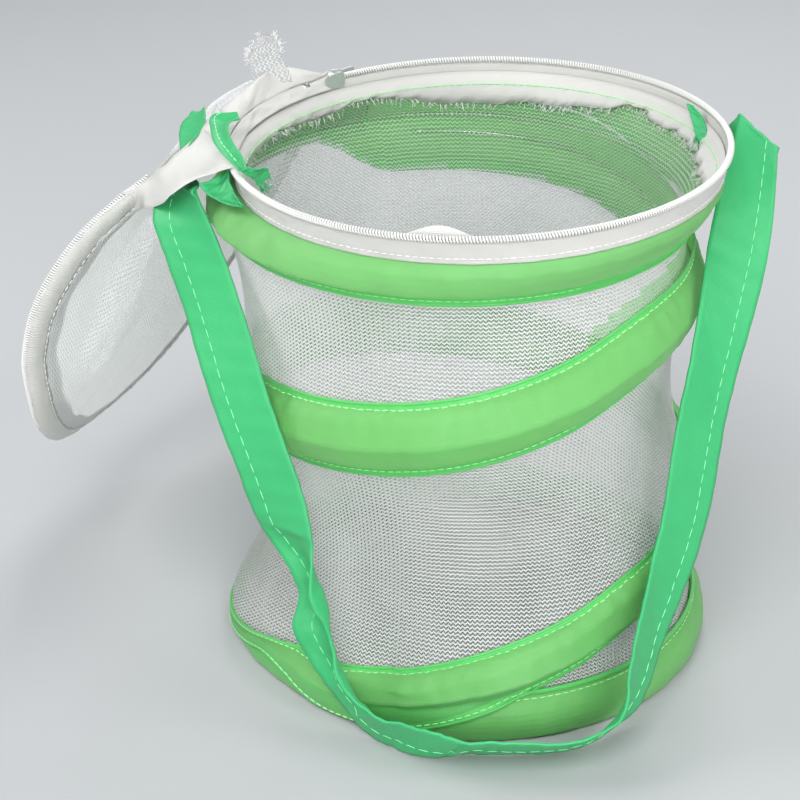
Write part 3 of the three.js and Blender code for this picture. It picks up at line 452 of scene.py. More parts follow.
# How far the sleeve stands off the net, as a share of its bulge, from its lower edge to its upper one.
def bulge(share):
    at = [0, 0.125, 0.15, 0.19, 0.3, 0.46, 0.62, 0.78, 0.86, 0.905, 0.93, 1]
    return float(np.interp(share, at, [0, 0, 0.45, 0.78, 0.93, 1, 0.95, 0.8, 0.55, 0.16, 0, 0]))


# On the last lap the cloth is creased along the wire instead of rounded.
def crease_at(turn):
    at = [-520, -495, -466, -445, -425, -405, -390]
    return float(np.interp(turn, at, [0.6, 0.6, 0.52, 0.45, 0.37, 0.22, 0.17]))


def ridge(share, crease):
    at = [0, 0.125, crease - 0.02, crease, crease + 0.02, 0.88, 0.92, 0.93, 1]
    return float(np.interp(share, at, [0, 0.05, 0.95, 1.06, 0.98, 0.42, 0.12, 0, 0]))


def base_section(turn):
    low = slump(turn)
    out = [r + low * (4.6 + (max(100.9 - r, 0) if z > 6 else 0)) for r, z in BASE]
    return out, [z * hem_height(turn) / BASE_TOP for r, z in BASE]


def base_sleeve_r(turn, z):
    out, up = base_section(turn)
    return float(np.interp(z, up[1:], out[1:])) if z < up[-1] else 0


# Where the spiral runs into the hoop's sleeve, both edges stand clear of the hoop's wire.
def clear_of_wire(turn):
    return 1.95 * smooth(-45, -15, turn) * (1 - smooth(120, 127, turn))


# The sleeve starts narrow in the mouth's seam, is creased on its last lap, and its tail lies flat on the base.
def spiral_point(turn, share, extra=0.0):
    wire = spiral_height(turn)
    start = float(smooth(112, 131, turn))
    last = float(smooth(-372, -402, turn))
    tail = float(smooth(-484, -512, turn))
    fold = float(smooth(-412, -440, turn)) * (1 - tail)
    low = max(wire - SLEEVE_HALF + 13 * start - 2 * last, 1.4)
    high = wire + SLEEVE_HALF - 9.5 * last
    hem = max(hem_height(turn) + 0.6, 7.6)
    low, high = low + (hem - 5 - low) * tail, high + (hem - high) * tail
    z = low + (high - low) * share
    near_top = float(smooth(0.55, 0.85, share) * (1 - smooth(0.93, 1, share)))
    pucker = 0.55 * ripple(turn * 1.1, share * 1.5, 9) * near_top
    crumple = 0.4 * ripple(turn * 0.27, share * 3, 1) * min(1, 6 * share * (1 - share))
    shape = bulge(share) * (1 - last) + ridge(share, crease_at(turn)) * last
    rise = (SLEEVE_BULGE + 3.2 * fold - 3.6 * tail) * shape + (crumple + pucker) * (1 - tail)
    lift = clear_of_wire(turn) if share > 0.5 else 0
    p = on_wall(turn, z, SEAM_OUT + max(rise, lift) + extra)
    reach = math.hypot(p[0], p[1])
    least = base_sleeve_r(turn, z - 1) + 1.35 + extra + rise * (0.4 - 0.2 * fold)
    if z < BASE_TOP + 1 and reach < least:
        p[:2] *= least / reach
    return p


across = np.concatenate([[0, 0.03, 0.08, 0.12, 0.13, 0.14, 0.16], np.linspace(0.19, 0.86, 18),
                         [0.885, 0.905, 0.92, 0.935, 0.97, 1]])
crown = int(np.argmin(abs(across - 0.47)))
spiral_turns = np.arange(130.5, -540.1, -1.5)


# The points across the sleeve close up toward the crease, so that one line of them runs along it.
def shares_at(turn):
    line = across[crown] + (crease_at(turn) - across[crown]) * float(smooth(-372, -402, turn))
    return np.interp(across, [0, 0.14, across[crown], 0.92, 1], [0, 0.14, line, 0.92, 1])


# The flat hem beyond each row of stitches is doubled.
def paint_edges(piece, shares, low, high, material=seam_green):
    piece.data.materials.append(material)
    for polygon in piece.data.polygons:
        k = polygon.index % (len(shares) - 1)
        middle = (shares[k] + shares[k + 1]) / 2
        polygon.material_index = int(middle < low or middle > high)


rows = [[spiral_point(t, s) for s in shares_at(t)] for t in spiral_turns]
spiral = surface("spiral_band", rows, green, "rim", thickness=CLOTH)
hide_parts("spiral_sleeve")
paint_edges(spiral, across, 0.128, 0.925)
# The last lap's lower half, below its crease, gets the painted shade.
spiral.data.materials.append(painted_shade_green)
for polygon in spiral.data.polygons:
    i, k = divmod(polygon.index, len(across) - 1)
    if spiral_turns[i] < -400 and 0.128 < across[k] and k < crown:
        polygon.material_index = 2
spiral_seams = []
for label, s in (("upper", 0.925), ("lower", 0.075)):
    line = [spiral_point(t, s, 0.4) for t in spiral_turns[2:-2]]
    seam = stitches("spiral_stitches_" + label, line, thread, "rim", radius=THREAD_R)
    spiral_seams.append(seam)
for label, s in (("upper", 0.99), ("lower", 0.01)):
    line = [spiral_point(t, s, 0.1) for t in spiral_turns]
    edge = tubes("spiral_hem_" + label, [line], HEM_R, 8, seam_green, "rim", squash=1.4)
    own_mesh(edge)
line = [on_wall(t, spiral_height(t), WIRE_OUT) for t in np.arange(105, -435.1, -3)]
spiral_wire = tubes("spiral_wire_shape", [line], WIRE_R, 8, steel, "rim")
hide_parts("spiral_wire")

# The hoop's sleeve under the mouth
# A band of the same taffeta round a wire hoop, sewn into the mouth's seam above and to the net below. Its
# copy of the taffeta is painted lighter, against the shade of a band that faces a little downward. The wire's
# joint is held by a clip, whose shade through the cloth is painted on it as a soft dark patch.

CLIP_AT, CLIP_SHADOW_PAINT = (-0.0855, -0.0655, 0.2038), "#3F7A48"

# Painted light: a lighter copy of the taffeta, for a band that faces a little downward, away from the lamps.
hoop_green_painted_light = taffeta("green polyester taffeta, hoop, painted lighter", "#A0E297", "#90D88B", "#B6E8A8")
tree = hoop_green_painted_light.node_tree
shader = tree.nodes["Principled BSDF"]
place = add(tree, "TexCoord", {})
# Painted shadow: the cloth darkens toward the clip, where the clip blocks the light coming through it.
away = add(tree, "VectorMath", {0: place.outputs["Object"], 1: CLIP_AT}, operation="DISTANCE")
clip_shadow_share = add(tree, "MapRange", {0: away.outputs[1], 1: 0.0015, 2: 0.0095, 3: 0.4, 4: 0.0})
plain = shader.inputs["Base Color"].links[0].from_socket
patch = add(tree, "Mix", {0: clip_shadow_share, 6: plain, 7: srgb(CLIP_SHADOW_PAINT)}, data_type="RGBA")
tree.links.new(patch.outputs[2], shader.inputs["Base Color"])


def hoop_point(turn, share, extra=0.0):
    turn = wrap(turn)
    top, low = mouth_height(turn) - 0.4, hoop_low(turn)
    full = min((top - low) / HOOP_WIDE, 1)
    at = [0, 0.19, 0.22, 0.27, 0.4, 0.55, 0.75, 0.9, 1]
    rise = 5.2 * full * float(np.interp(share, at, [0, 0, 0.45, 0.8, 0.97, 1, 0.85, 0.45, 0]))
    rise += full * 0.45 * ripple(turn * 0.42, share * 4, 3) * min(1, 5 * share * (1 - share))
    lift = clear_of_wire(turn) if share < 0.5 else 0
    return on_wall(turn, low + (top - low) * share, SEAM_OUT + max(rise, lift) + extra)


across = np.concatenate([[0, 0.04, 0.12, 0.18, 0.195, 0.21, 0.23], np.linspace(0.27, 0.95, 16), [1]])
rows = [[hoop_point(t, s) for s in across] for t in turns]
hoop = surface("hoop_band", rows, hoop_green_painted_light, "rim", ring=True, thickness=CLOTH)
paint_edges(hoop, across, 0.192, 2)
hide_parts("hoop_sleeve")
line = [hoop_point(t, 0.01, 0.1) for t in turns]
tubes("hoop_hem", [line], HEM_R, 8, seam_green, "rim", ring=True, squash=1.4)
line = [hoop_point(t, 0.1, 0.4) for t in np.arange(117, 301, 1.5)]
stitches("hoop_stitches", line, thread, "rim")
line = [on_wall(t, HOOP_Z, WIRE_OUT) for t in turns]
hoop_wire = tubes("hoop_wire_shape", [line], WIRE_R, 8, steel, "rim", ring=True)
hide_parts("hoop_wire")

# The base ring, the floor and its tape
# A wire ring in a folded sleeve of the same taffeta, which the cage stands on. The floor is a disc of the net,
# and a narrow white tape covers the seam where it meets the ring.

RING_R, RING_Z, FLOOR_R = 98.8, 7.0, 93.6


# Woven polyester tape: matt, with fine ribs both ways and, over a coil, a raised rib for each tooth.
def woven_tape(name, color, ribs, ridges=0.0):
    material, tree, shader = new_material(name, color, 0.8)
    uv = add(tree, "TexCoord", {}).outputs["UV"]
    weave = add(tree, "TexWave", {"Vector": uv, "Scale": ribs, "Distortion": 0.6}, bands_direction="X")
    cross = add(tree, "TexWave", {"Vector": uv, "Scale": ribs, "Distortion": 0.6}, bands_direction="Y")
    height = add(tree, "Math", {0: weave.outputs[1], 1: cross.outputs[1]}, operation="ADD")
    if ridges:
        row = add(tree, "TexWave", {"Vector": uv, "Scale": 0.1 * math.pi / ridges}, bands_direction="X")
        height = add(tree, "Math", {0: row.outputs[1], 1: 4.0, 2: height}, operation="MULTIPLY_ADD")
    bump = add(tree, "Bump", {"Height": height, "Distance": 0.0003, "Strength": 0.6})
    tree.links.new(bump.outputs[0], shader.inputs["Normal"])
    return material


tape = woven_tape("white woven zip tape", "#D7D6D2", 1.6)


def base_line(turn, cut, out):
    radii, rise = base_section(turn)
    return polar(turn, radii[cut] + out, rise[cut])


rows = []
for t in turns:
    line = []
    for k, (r, z) in enumerate(zip(*base_section(t))):
        line.append(polar(t, r + 0.3 * ripple(t * 0.4, k * 0.7, 5) * (2 < k < 11), z))
    rows.append(line)
base = surface("base_band", rows, green, "base", ring=True, thickness=CLOTH)
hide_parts("base_sleeve")
# The base's sleeve at the left, toward the front, gets the painted shade.
base.data.materials.append(painted_shade_green)
for polygon in base.data.polygons:
    polygon.material_index = int(188 < turns[polygon.index // (len(BASE) - 1)] < 243)
line = [base_line(t, 12, 0.6) for t in turns]
tubes("base_hem", [line], 0.75, 8, seam_green, "base", ring=True, squash=1.6)
line = [base_line(t, 10, 0.4) for t in np.append(turns, 360)]
stitches("base_stitches", line, thread, "base", radius=0.26)
line = [polar(t, RING_R, RING_Z - 4.4 * slump(t)) for t in turns]
base_wire = tubes("base_wire_shape", [line], WIRE_R, 8, steel, "base", ring=True)
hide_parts("base_wire")
rows = [[polar(t, r, z) for r, z in ((89.2, 1.3), (91.5, 1.45), (FLOOR_R, 1.3))] for t in turns]
welt = surface("floor_welt", rows, tape, "base", ring=True, thickness=0.6)
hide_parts("floor_tape")
radii = np.linspace(0.01, FLOOR_R, 20)
rows = [[polar(t, r, 0.45) for r in radii] for t in turns]
uvs = np.array([[polar(t, r, 0)[:2] for r in radii] for t in np.append(turns, 360.0)])
bottom = surface("floor_cloth", rows, net, "base", ring=True, uv=uvs, thickness=0.4)
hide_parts("floor_net")

# The mouth's zip
# Half of a nylon coil zip: a coil of white nylon line sewn along the edge of a woven tape, which stands up
# from the mouth's seam. The rim is a little tilted, and its own sizes start at its seam.

COIL_R = 0.46

nylon = new_material("white nylon coil", "#D2D2CF", 0.35)[0]
fibre = new_material("loose white fibre", "#E2E2E0", 0.8)[0]


def in_rim(turn, radius, height):
    return np.array(RIM @ Vector(polar(turn, radius, height)))


# One tooth of the coil is one turn of it.
def coil_line(radius, height, start, stop, place, pitch=1.2, wide=1.0, tall=1.1):
    count = int(radius * abs(stop - start) * RAD / pitch)
    angles = np.linspace(0, count * 2 * math.pi, count * 8)
    turn = np.linspace(start, stop, len(angles))
    return [place(t, radius + wide * math.cos(a), height + tall * math.sin(a)) for t, a in zip(turn, angles)]


def tape_r(z):
    return SEAM_R + (TEETH_R - SEAM_R) * z / TEETH_Z


coil = [coil_line(TEETH_R, TEETH_Z, 137, -171, in_rim)]
rim_coil = tubes("rim_coil", coil, COIL_R, 5, nylon, "rim")
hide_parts("rim_zip_coil")
rows = []
for t in turns:
    line = []
    for z in (-0.6, 0.3, 1.6, 3.2, 5, 7, 8.4):
        line.append(in_rim(t, tape_r(z) + 0.18 * ripple(t * 0.5, z, 4) + (0.5 if z < 0 else 0), z))
    rows.append(line)
rim_tape = surface("rim_tape", rows, tape, "rim", ring=True, thickness=0.6)
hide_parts("rim_zip_tape")
line = [in_rim(t, tape_r(1.6) + 0.5, 1.6) for t in turns]
stitches("rim_seam_stitches", line, fibre, "rim", stitch=2.2, gap=0.8, radius=0.2)

# The facing inside the mouth
# The net's raw edge is covered by a strip of white cotton, turned in and sewn through with green thread. Its
# lower edge hangs free, is cut unevenly and has frayed, and in front a lobe of it stands up behind the zip.

rng = np.random.default_rng(7)
facing_cloth = woven_tape("white cotton facing", "#D8D7D3", 0.9)


def hump(turn, centre, half):
    return math.exp(-((wrap(turn - centre) / half) ** 2))


def facing_low(turn):
    t = turn * RAD
    lobes = 1.6 * hump(turn, 84, 13)
    for middle, half, short in ((24, 10, 3.5), (42, 7, 4.5), (121, 10, 5.2), (152, 12, 5.5)):
        lobes -= short * hump(turn, middle, half)
    waves = 0.9 * math.sin(5 * t + 0.6) + 0.7 * math.sin(11 * t + 2.1) + 0.5 * math.sin(23 * t)
    return max(6.1 + lobes + waves, 0.8)


# Loose fibre ends along a raw edge.
def fuzz(name, points, outs, material, body, count, length, spread=0.6):
    lines = []
    for _ in range(count):
        i = int(rng.integers(0, len(points)))
        start = points[i] + rng.normal(0, 0.4, 3)
        way = outs[i] + rng.normal(0, spread, 3)
        way /= np.linalg.norm(way)
        bend = rng.normal(0, 0.5, 3)
        reach = length * (0.4 + 0.8 * rng.random())
        steps = np.linspace(0, 1, 4)[:, None]
        lines.append(start + way * reach * steps + bend * reach * 0.4 * steps ** 2)
    return tubes(name, lines, 0.11, 3, material, body)


rows = []
for t in turns:
    stand = 8.5 * hump(t, -98, 9) + 1.5 * hump(t, -112, 5)
    high = in_rim(t, tape_r(5.4) - 1.15 - 0.12 * stand, 5.4 + stand)
    seam = in_rim(t, 95.0, 0.4)
    foot = on_wall(t, mouth_height(t) - facing_low(t), -1.9 - 0.8 * ripple(t * 0.9, 1, 6))
    half = seam * 0.5 + foot * 0.5
    half[:2] *= 1 - (0.6 + 0.7 * math.sin(t * 0.9)) / np.linalg.norm(half[:2])
    rows.append([high, high * 0.5 + seam * 0.5, seam, half, foot])
facing = surface("facing", rows, facing_cloth, "rim", ring=True, thickness=CLOTH)
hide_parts("mouth_facing")
feet = [row[-1] for row in rows]
inward = [np.append(-p[:2] / np.linalg.norm(p[:2]), -1.2) for p in feet]
fuzz("facing_fray", feet, inward, fibre, "rim", 900, 3.2)
line = [in_rim(t, 94.5, 0.5) for t in turns]
stitches("inside_stitches", line, thread, "rim", radius=THREAD_R)

# The carry strap
# One band of bluish green cloth, folded lengthwise and sewn along its middle with a pale thread. It is caught
# in the mouth's seam at both ends, folds over at the right and droops to the floor in front.

STRAP_WIDE, STRAP_THICK = 25, 1.1
STRAP_STEPS, SEAM_CUT = 520, 4

strap_cloth = taffeta("bluish green strap", "#46C07B", "#3AB472", "#70D8A0", 0.3)
strap_cloth.node_tree.nodes["Principled BSDF"].inputs["Sheen Weight"].default_value = 0.08
strap_thread = new_material("pale green sewing thread", "#86E0A6", 0.6)[0]

# The strap's two edges at each place along it, read off from the left end to the right.
STRAP = [
    (-114.2, 3.5, 203.5, -111.8, -20.5, 202.8), (-119.5, 3.0, 205.8, -113.5, -21.0, 205.2),
    (-124.8, 2.2, 200.2, -112.2, -18.2, 206.8), (-131.1, -9.1, 191.7, -112.5, -18.9, 205.3),
    (-125.3, -23.3, 179.1, -105.1, -28.7, 192.9), (-117.5, -33.6, 162.0, -96.5, -38.4, 174.8),
    (-109.6, -48.9, 144.1, -88.4, -53.1, 156.9), (-101.4, -62.7, 125.7, -80.6, -68.3, 138.3),
    (-94.6, -69.3, 110.4, -73.4, -76.7, 121.6), (-88.0, -73.6, 93.2, -66.8, -82.4, 103.0),
    (-81.2, -75.2, 79.3, -63.8, -86.8, 88.7), (-74.5, -79.0, 70.2, -63.5, -91.0, 77.8),
    (-69.5, -83.5, 58.7, -63.5, -96.5, 63.3), (-71.8, -87.2, 45.7, -57.2, -96.8, 50.3),
    (-67.1, -87.0, 33.1, -54.9, -99.0, 40.9), (-59.4, -91.0, 22.4, -53.6, -103.0, 33.6),
    (-50.2, -95.7, 12.4, -46.4, -111.3, 28.0), (-43.2, -98.3, 4.9, -37.8, -114.7, 22.9),
    (-37.2, -101.1, 1.6, -32.5, -116.2, 21.0), (-31.8, -104.6, 1.6, -28.0, -118.3, 22.2),
    (-26.8, -108.6, 1.6, -23.2, -121.3, 22.7), (-20.5, -111.2, 1.6, -17.0, -123.7, 22.9),
    (-13.2, -111.4, 1.6, -10.7, -125.2, 22.0), (-7.4, -110.2, 1.6, -5.3, -126.1, 20.6),
    (-1.7, -108.5, 1.6, -0.1, -126.0, 18.7), (6.1, -108.9, 1.6, 8.1, -126.1, 19.6),
    (21.3, -108.2, 1.6, 22.6, -125.6, 19.4), (34.9, -106.0, 1.6, 37.0, -124.2, 18.6),
    (46.1, -103.4, 3.0, 49.8, -120.9, 20.4), (56.8, -96.1, 5.8, 59.2, -113.9, 23.2),
    (67.0, -90.6, 12.1, 62.0, -108.4, 28.9), (72.7, -84.0, 23.1, 62.3, -102.0, 36.9),
    (76.9, -77.5, 36.0, 65.1, -94.5, 50.0), (82.7, -70.5, 48.0, 68.3, -85.5, 62.0),
    (89.4, -62.3, 65.3, 71.6, -75.7, 76.7), (94.7, -54.6, 85.2, 75.3, -68.4, 92.8),
    (99.1, -46.9, 117.8, 78.9, -60.1, 124.2), (103.0, -41.7, 139.2, 83.0, -53.3, 148.8),
    (109.3, -30.1, 159.3, 87.7, -35.9, 170.7), (115.3, -14.3, 176.9, 91.7, -13.7, 185.1),
    (117.8, -3.9, 193.0, 97.2, 7.9, 201.0), (120.0, 14.5, 212.0, 106.0, 34.0, 220.0),
    (120.3, 15.6, 213.2, 106.3, 35.2, 221.0), (118.6, 16.6, 210.6, 104.8, 36.0, 218.2),
    (110.5, 19.5, 205.5, 100.5, 41.0, 211.5), (102.0, 21.5, 202.5, 95.2, 45.5, 206.5),
]


def smooth_line(points, count):
    points = np.asarray(points, float)
    gaps = np.sqrt(np.linalg.norm(np.diff(points, axis=0), axis=1)) + 1e-6
    knots = np.concatenate([[0], np.cumsum(gaps)])
    slopes = np.gradient(points, knots, axis=0)
    out = []
    for x in np.linspace(0, knots[-1], count):
        i = min(int(np.searchsorted(knots, x, side="right")) - 1, len(points) - 2)
        h = knots[i + 1] - knots[i]
        s = (x - knots[i]) / h
        out.append((2 * s ** 3 - 3 * s ** 2 + 1) * points[i] + (s ** 3 - 2 * s ** 2 + s) * h * slopes[i]
                   + (3 * s ** 2 - 2 * s ** 3) * points[i + 1] + (s ** 3 - s ** 2) * h * slopes[i + 1])
    return np.array(out)


strap = np.array(STRAP)
left, right = smooth_line(strap[:, :3], STRAP_STEPS), smooth_line(strap[:, 3:], STRAP_STEPS)
run = np.gradient((left + right) / 2, axis=0)
run /= np.linalg.norm(run, axis=1)[:, None]
rows = []
for i in range(STRAP_STEPS):
    side = right[i] - left[i]
    width = np.linalg.norm(side)
    out = np.cross(side, run[i])
    out /= np.linalg.norm(out)
    depth = math.sqrt(0.375 * width * max(STRAP_WIDE - width, 0)) + 0.3
    line = []
    for s in np.linspace(0, 1, 15):
        crease = 0.22 * ripple(i * 0.11, s * 4, 8)
        bow = depth * (1 - (2 * s - 1) ** 2) + crease + 0.10 * math.sin(i * 0.9 + 3 * s)
        line.append(left[i] + side * s + out * bow)
    rows.append(line)
band = surface("strap", rows, strap_cloth, "rim", thickness=STRAP_THICK)
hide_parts("carry_strap")
rows = np.array(rows)
face = np.cross(rows[:, SEAM_CUT + 1] - rows[:, SEAM_CUT - 1], run)
face /= np.linalg.norm(face, axis=1)[:, None]
strap_seams = []
for label, out in (("outer", 0.68), ("inner", -0.68)):
    line = rows[:, SEAM_CUT] + face * out
    name = "strap_stitches_" + label
    strap_seams.append(stitches(name, line, strap_thread, "rim", 4.4, 1.3, 0.2))

for piece in [wall, spiral, spiral_wire, band] + strap_seams + spiral_seams:
    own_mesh(piece)

# The lid
# A round of finer net, stretched thin in one patch, sewn to the other half of the zip, with a white tape over
# the seam inside. It hangs open at the back left, bent and twisted: its shape is drawn flat, bent, turned
# about the hinge and tilted with the rim.

LID_Z, NET_Z, LID_NET_R = 13.55, 18.0, 89.65
HINGE_TURN, HINGE_R, HINGE_Z = 152, TEETH_R + 5.4, 12.2
CORNER_TURN, CORNER_HALF, CORNER_IN = -73, 21, 0.035

# The lid's slopes away from the hinge, along its length and across it, in radians by 100 mm.
BEND = (-0.408, 1.029, -0.431)
TWIST = (-0.300, 0.922, -0.439)

hinge_point = Vector(polar(HINGE_TURN, HINGE_R, HINGE_Z))
hinge_axis = Vector((-math.sin(HINGE_TURN * RAD), math.cos(HINGE_TURN * RAD), 0))
TURNED = Matrix.Rotation(236 * RAD, 4, hinge_axis)
OPEN = RIM @ (Matrix.Translation(hinge_point) @ TURNED @ Matrix.Translation(-hinge_point))

thin_patch = (100, 44, 16, 42, 16)
# Painted light: the lid's net is a brighter white than the wall's, against the shade on its side in view.
lid_net_painted_bright = knitted_net("white knitted net, lid, painted brighter", 2.6, 1.7, 0.5, thin_patch, "#F6F7F7", "#F8F9F9", 0.5)
coil_tape = woven_tape("white tape over the coil", "#D9D8D4", 1.6, ridges=1.3)


# The edge curls up on the side that hangs lowest.
def edge_lift(turn):
    at = [176, 190, 202, 212, 220, 228, 236, 250, 262, 275]
    return float(np.interp(turn % 360, at, [0, 6, 6, 5, 4, 2, 0, -2, 0, 0]))


# A point's place in the lid's flat frame: how far it is from the hinge's line, and how far along that line.
def from_hinge(turn, radius):
    x, y, z = polar(turn, radius, 0)
    c, s = math.cos(HINGE_TURN * RAD), math.sin(HINGE_TURN * RAD)
    return HINGE_R - x * c - y * s, y * c - x * s


def in_lid(turn, radius, height):
    height += edge_lift(turn) * float(smooth(45, 97, radius))
    pulled = CORNER_IN * math.exp(-((wrap(turn - CORNER_TURN) / CORNER_HALF) ** 2))
    radius *= 1 - pulled * min(radius / 100, 1) ** 2
    v, u = [distance / 100 for distance in from_hinge(turn, radius)]
    c, s = math.cos(HINGE_TURN * RAD), math.sin(HINGE_TURN * RAD)
    steps = (np.arange(16) + 0.5) / 16 * v
    slope = BEND[0] + BEND[1] * steps + BEND[2] * steps ** 2
    slope = slope + u * (TWIST[0] + TWIST[1] * steps + TWIST[2] * steps ** 2)
    reach, rise = 100 * v * np.cos(slope).mean(), 100 * v * np.sin(slope).mean()
    flat = Vector((HINGE_R * c, HINGE_R * s, 0)) + Vector((-s, c, 0)) * u * 100 + Vector((-c, -s, 0)) * reach
    flat.z = height + rise
    return np.array(OPEN @ flat)


def net_z(r):
    return NET_Z + 3 * (1 - (r / LID_NET_R) ** 2)


def sag(turn, r):
    x, y, z = polar(turn, r, 0)
    return 0.9 * ripple(x * 0.06, y * 0.06, 3) * (1 - (r / 91) ** 4)


# A bent lid can't close flat; here each of its pieces only gets a mesh of its own.
def on_lid(piece):
    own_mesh(piece)


coil = [coil_line(TEETH_R, LID_Z, 137, -171, in_lid)]
lid_coil = tubes("lid_coil", coil, COIL_R, 5, nylon, "lid")
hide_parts("lid_zip_coil")
section = [(100.6, 14.2), (100.0, 15.6), (98.6, 16.6), (96.5, 17.3), (93.5, 17.8), (90.1, 18.0)]
rows = [[in_lid(t, r + 0.35 * ripple(t * 0.5, r, 2), z + 0.3 * ripple(t * 0.7, r, 5)) for r, z in section]
        for t in turns]
lid_tape = surface("lid_tape", rows, tape, "lid", ring=True, thickness=0.6)
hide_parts("lid_zip_tape")
paint_edges(lid_tape, range(len(section)), 3, 9, coil_tape)
radii = np.linspace(0.01, 90.6, 26)
rows = [[in_lid(t, r, net_z(r) + sag(t, r)) for r in radii] for t in turns]
uvs = np.array([[from_hinge(t, r) for r in radii] for t in np.append(turns, 360.0)])
lid_cloth = surface("lid_cloth", rows, lid_net_painted_bright, "lid", ring=True, uv=uvs, thickness=NET_THICK)
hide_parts("lid_net")
rows = []
for t in turns:
    edges = (82.6 + 0.9 * math.sin(t * 0.31), 86, 90)
    rows.append([in_lid(t, r, net_z(r) - 0.7 + 0.2 * ripple(t * 0.8, r, 1)) for r in edges])
seam_tape = surface("lid_welt", rows, tape, "lid", ring=True, thickness=CLOTH)
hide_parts("lid_seam_tape")
line = [in_lid(t, 91.6, 18.5) for t in np.append(turns, 360)]
lid_seam = stitches("lid_stitches", line, fibre, "lid", radius=0.22)
for piece in (lid_coil, lid_tape, lid_cloth, seam_tape, lid_seam):
    on_lid(piece)

# The cloth at the hinge
# White cotton runs on from the mouth over the hinge and becomes the lid's own edge. Behind it the lid's net is
# gathered, and a raw tail of the wall's net stands up. Their edges were read off.


# A strip of cloth between two edges, bowed across and crumpled.
def strip(name, one, other, material, body, cuts=9, bow=0.0, crumple=0.3, thickness=0.6, uv_scale=1.0):
    count = 48
    first, second = smooth_line(one, count), smooth_line(other, count)
    middle = (first + second) / 2
    way = np.gradient(middle, axis=0)
    shares, seed = np.linspace(0, 1, cuts), len(name)
    rows = []
    for i in range(count):
        side = second[i] - first[i]
        out = np.cross(side, way[i])
        out /= np.linalg.norm(out) + 1e-9
        line = []
        for s in shares:
            lift = bow * 4 * s * (1 - s) + crumple * ripple(i * 0.22, s * 5, seed)
            line.append(first[i] + side * s + out * lift)
        rows.append(line)
    wide = float(np.linalg.norm(second - first, axis=1).mean())
    long = float(np.linalg.norm(np.diff(middle, axis=0), axis=1).sum())
    uv = np.array([[(long * a * uv_scale, wide * b) for b in shares] for a in np.linspace(0, 1, count + 1)])
    return surface(name, rows, material, body, uv=uv, thickness=thickness)


def hinged(piece):
    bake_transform(piece)


inner = [in_rim(t, 97.2, 6.5) for t in np.linspace(131, 184, 8)]
crest = [in_rim(t, 100.4, 11.6) for t in np.linspace(131, 186, 8)]
outer = [(-67.2, 81.3, 219.0), (-75.3, 74.5, 223.5), (-86.5, 77.1, 225.0), (-92.9, 62.6, 225.5),
         (-99.7, 44.8, 224.0), (-106.7, 33.3, 221.5), (-111.3, 24.4, 219.0), (-112.5, 16.0, 217.0)]
cuff = strip("hinge_cuff", inner, crest, facing_cloth, "rim", crumple=0.6)
apron = strip("hinge_apron", crest, outer, facing_cloth, None, bow=1.2, crumple=0.95)
hinged(apron)
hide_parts("hinge_cloth_rim")
upper = [(-109.0, 32.0, 223.0), (-113.3, 18.3, 217.5), (-121.4, 4.4, 213.5), (-127.7, -1.0, 208.2)]
on_edge = ((190, 101.4, 14.0), (196, 101.4, 14.2), (203, 101.2, 14.0), (211, 100.8, 13.4))
upper += [in_lid(t, r, z) for t, r, z in on_edge]
lower = [(-95.6, -27.5, 219.8), (-104.1, -24.8, 215.5), (-112.6, -22.8, 211.5), (-119.0, -23.5, 207.5),
         (-124.8, -19.0, 200.9), (-132.9, -7.0, 193.2)]
lower += [in_lid(t, r, z) for t, r, z in ((197, 89.5, 19.6), (204, 90.5, 19.2), (211, 92.0, 17.6))]
lead = strip("hinge_lead", upper, lower, facing_cloth, None, bow=1.7, crumple=0.45)
hinged(lead)
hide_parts("hinge_cloth_lid")
inside = [in_lid(t, 99.5, 15.2) for t in np.linspace(128, 200, 9)]
outside = [(-93.0, 91.6, 213.0), (-98.9, 86.2, 215.0), (-110.1, 69.6, 214.5), (-117.3, 56.1, 212.5),
           (-122.7, 42.5, 209.0), (-127.2, 28.8, 204.5), (-132.2, 14.1, 201.0), (-138.1, 4.8, 197.0),
           (-143.0, 1.0, 195.0)]
gather = strip("net_gather", inside, outside, lid_net_painted_bright, "lid", 13, -3.0, 0.8, NET_THICK)
on_lid(gather)
tail_left = [(-96.3, 66.0, 219.1), (-98.0, 68.0, 225.7), (-99.6, 70.0, 230.2), (-96.9, 73.0, 235.5),
             (-94.5, 75.0, 239.0)]
tail_right = [(-80.6, 66.0, 221.7), (-84.2, 68.0, 230.3), (-86.5, 70.0, 233.5), (-87.5, 73.0, 236.0),
              (-89.8, 75.0, 238.6)]
tail = strip("tail_of_net", tail_left, tail_right, net, "rim", 9, 1.6, 0.9, 0.5, uv_scale=1.3)
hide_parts("net_tail")
ends = np.concatenate([smooth_line(tail_left, 30)[12:], smooth_line(tail_right, 30)[16:]])
outs = np.array([(-0.6, 0, 0.5)] * 18 + [(0.5, 0.2, 0.7)] * 14)
fray = fuzz("tail_fray", ends, outs, fibre, "rim", 130, 2.6)
for piece in (tail, fray):
    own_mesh(piece)

# The strap's ends
# Where the strap is caught in the seam, its cut ends stick out, curl and fray: four at the left and one at
# the right, where a tab of it is also sewn down the hoop's sleeve.

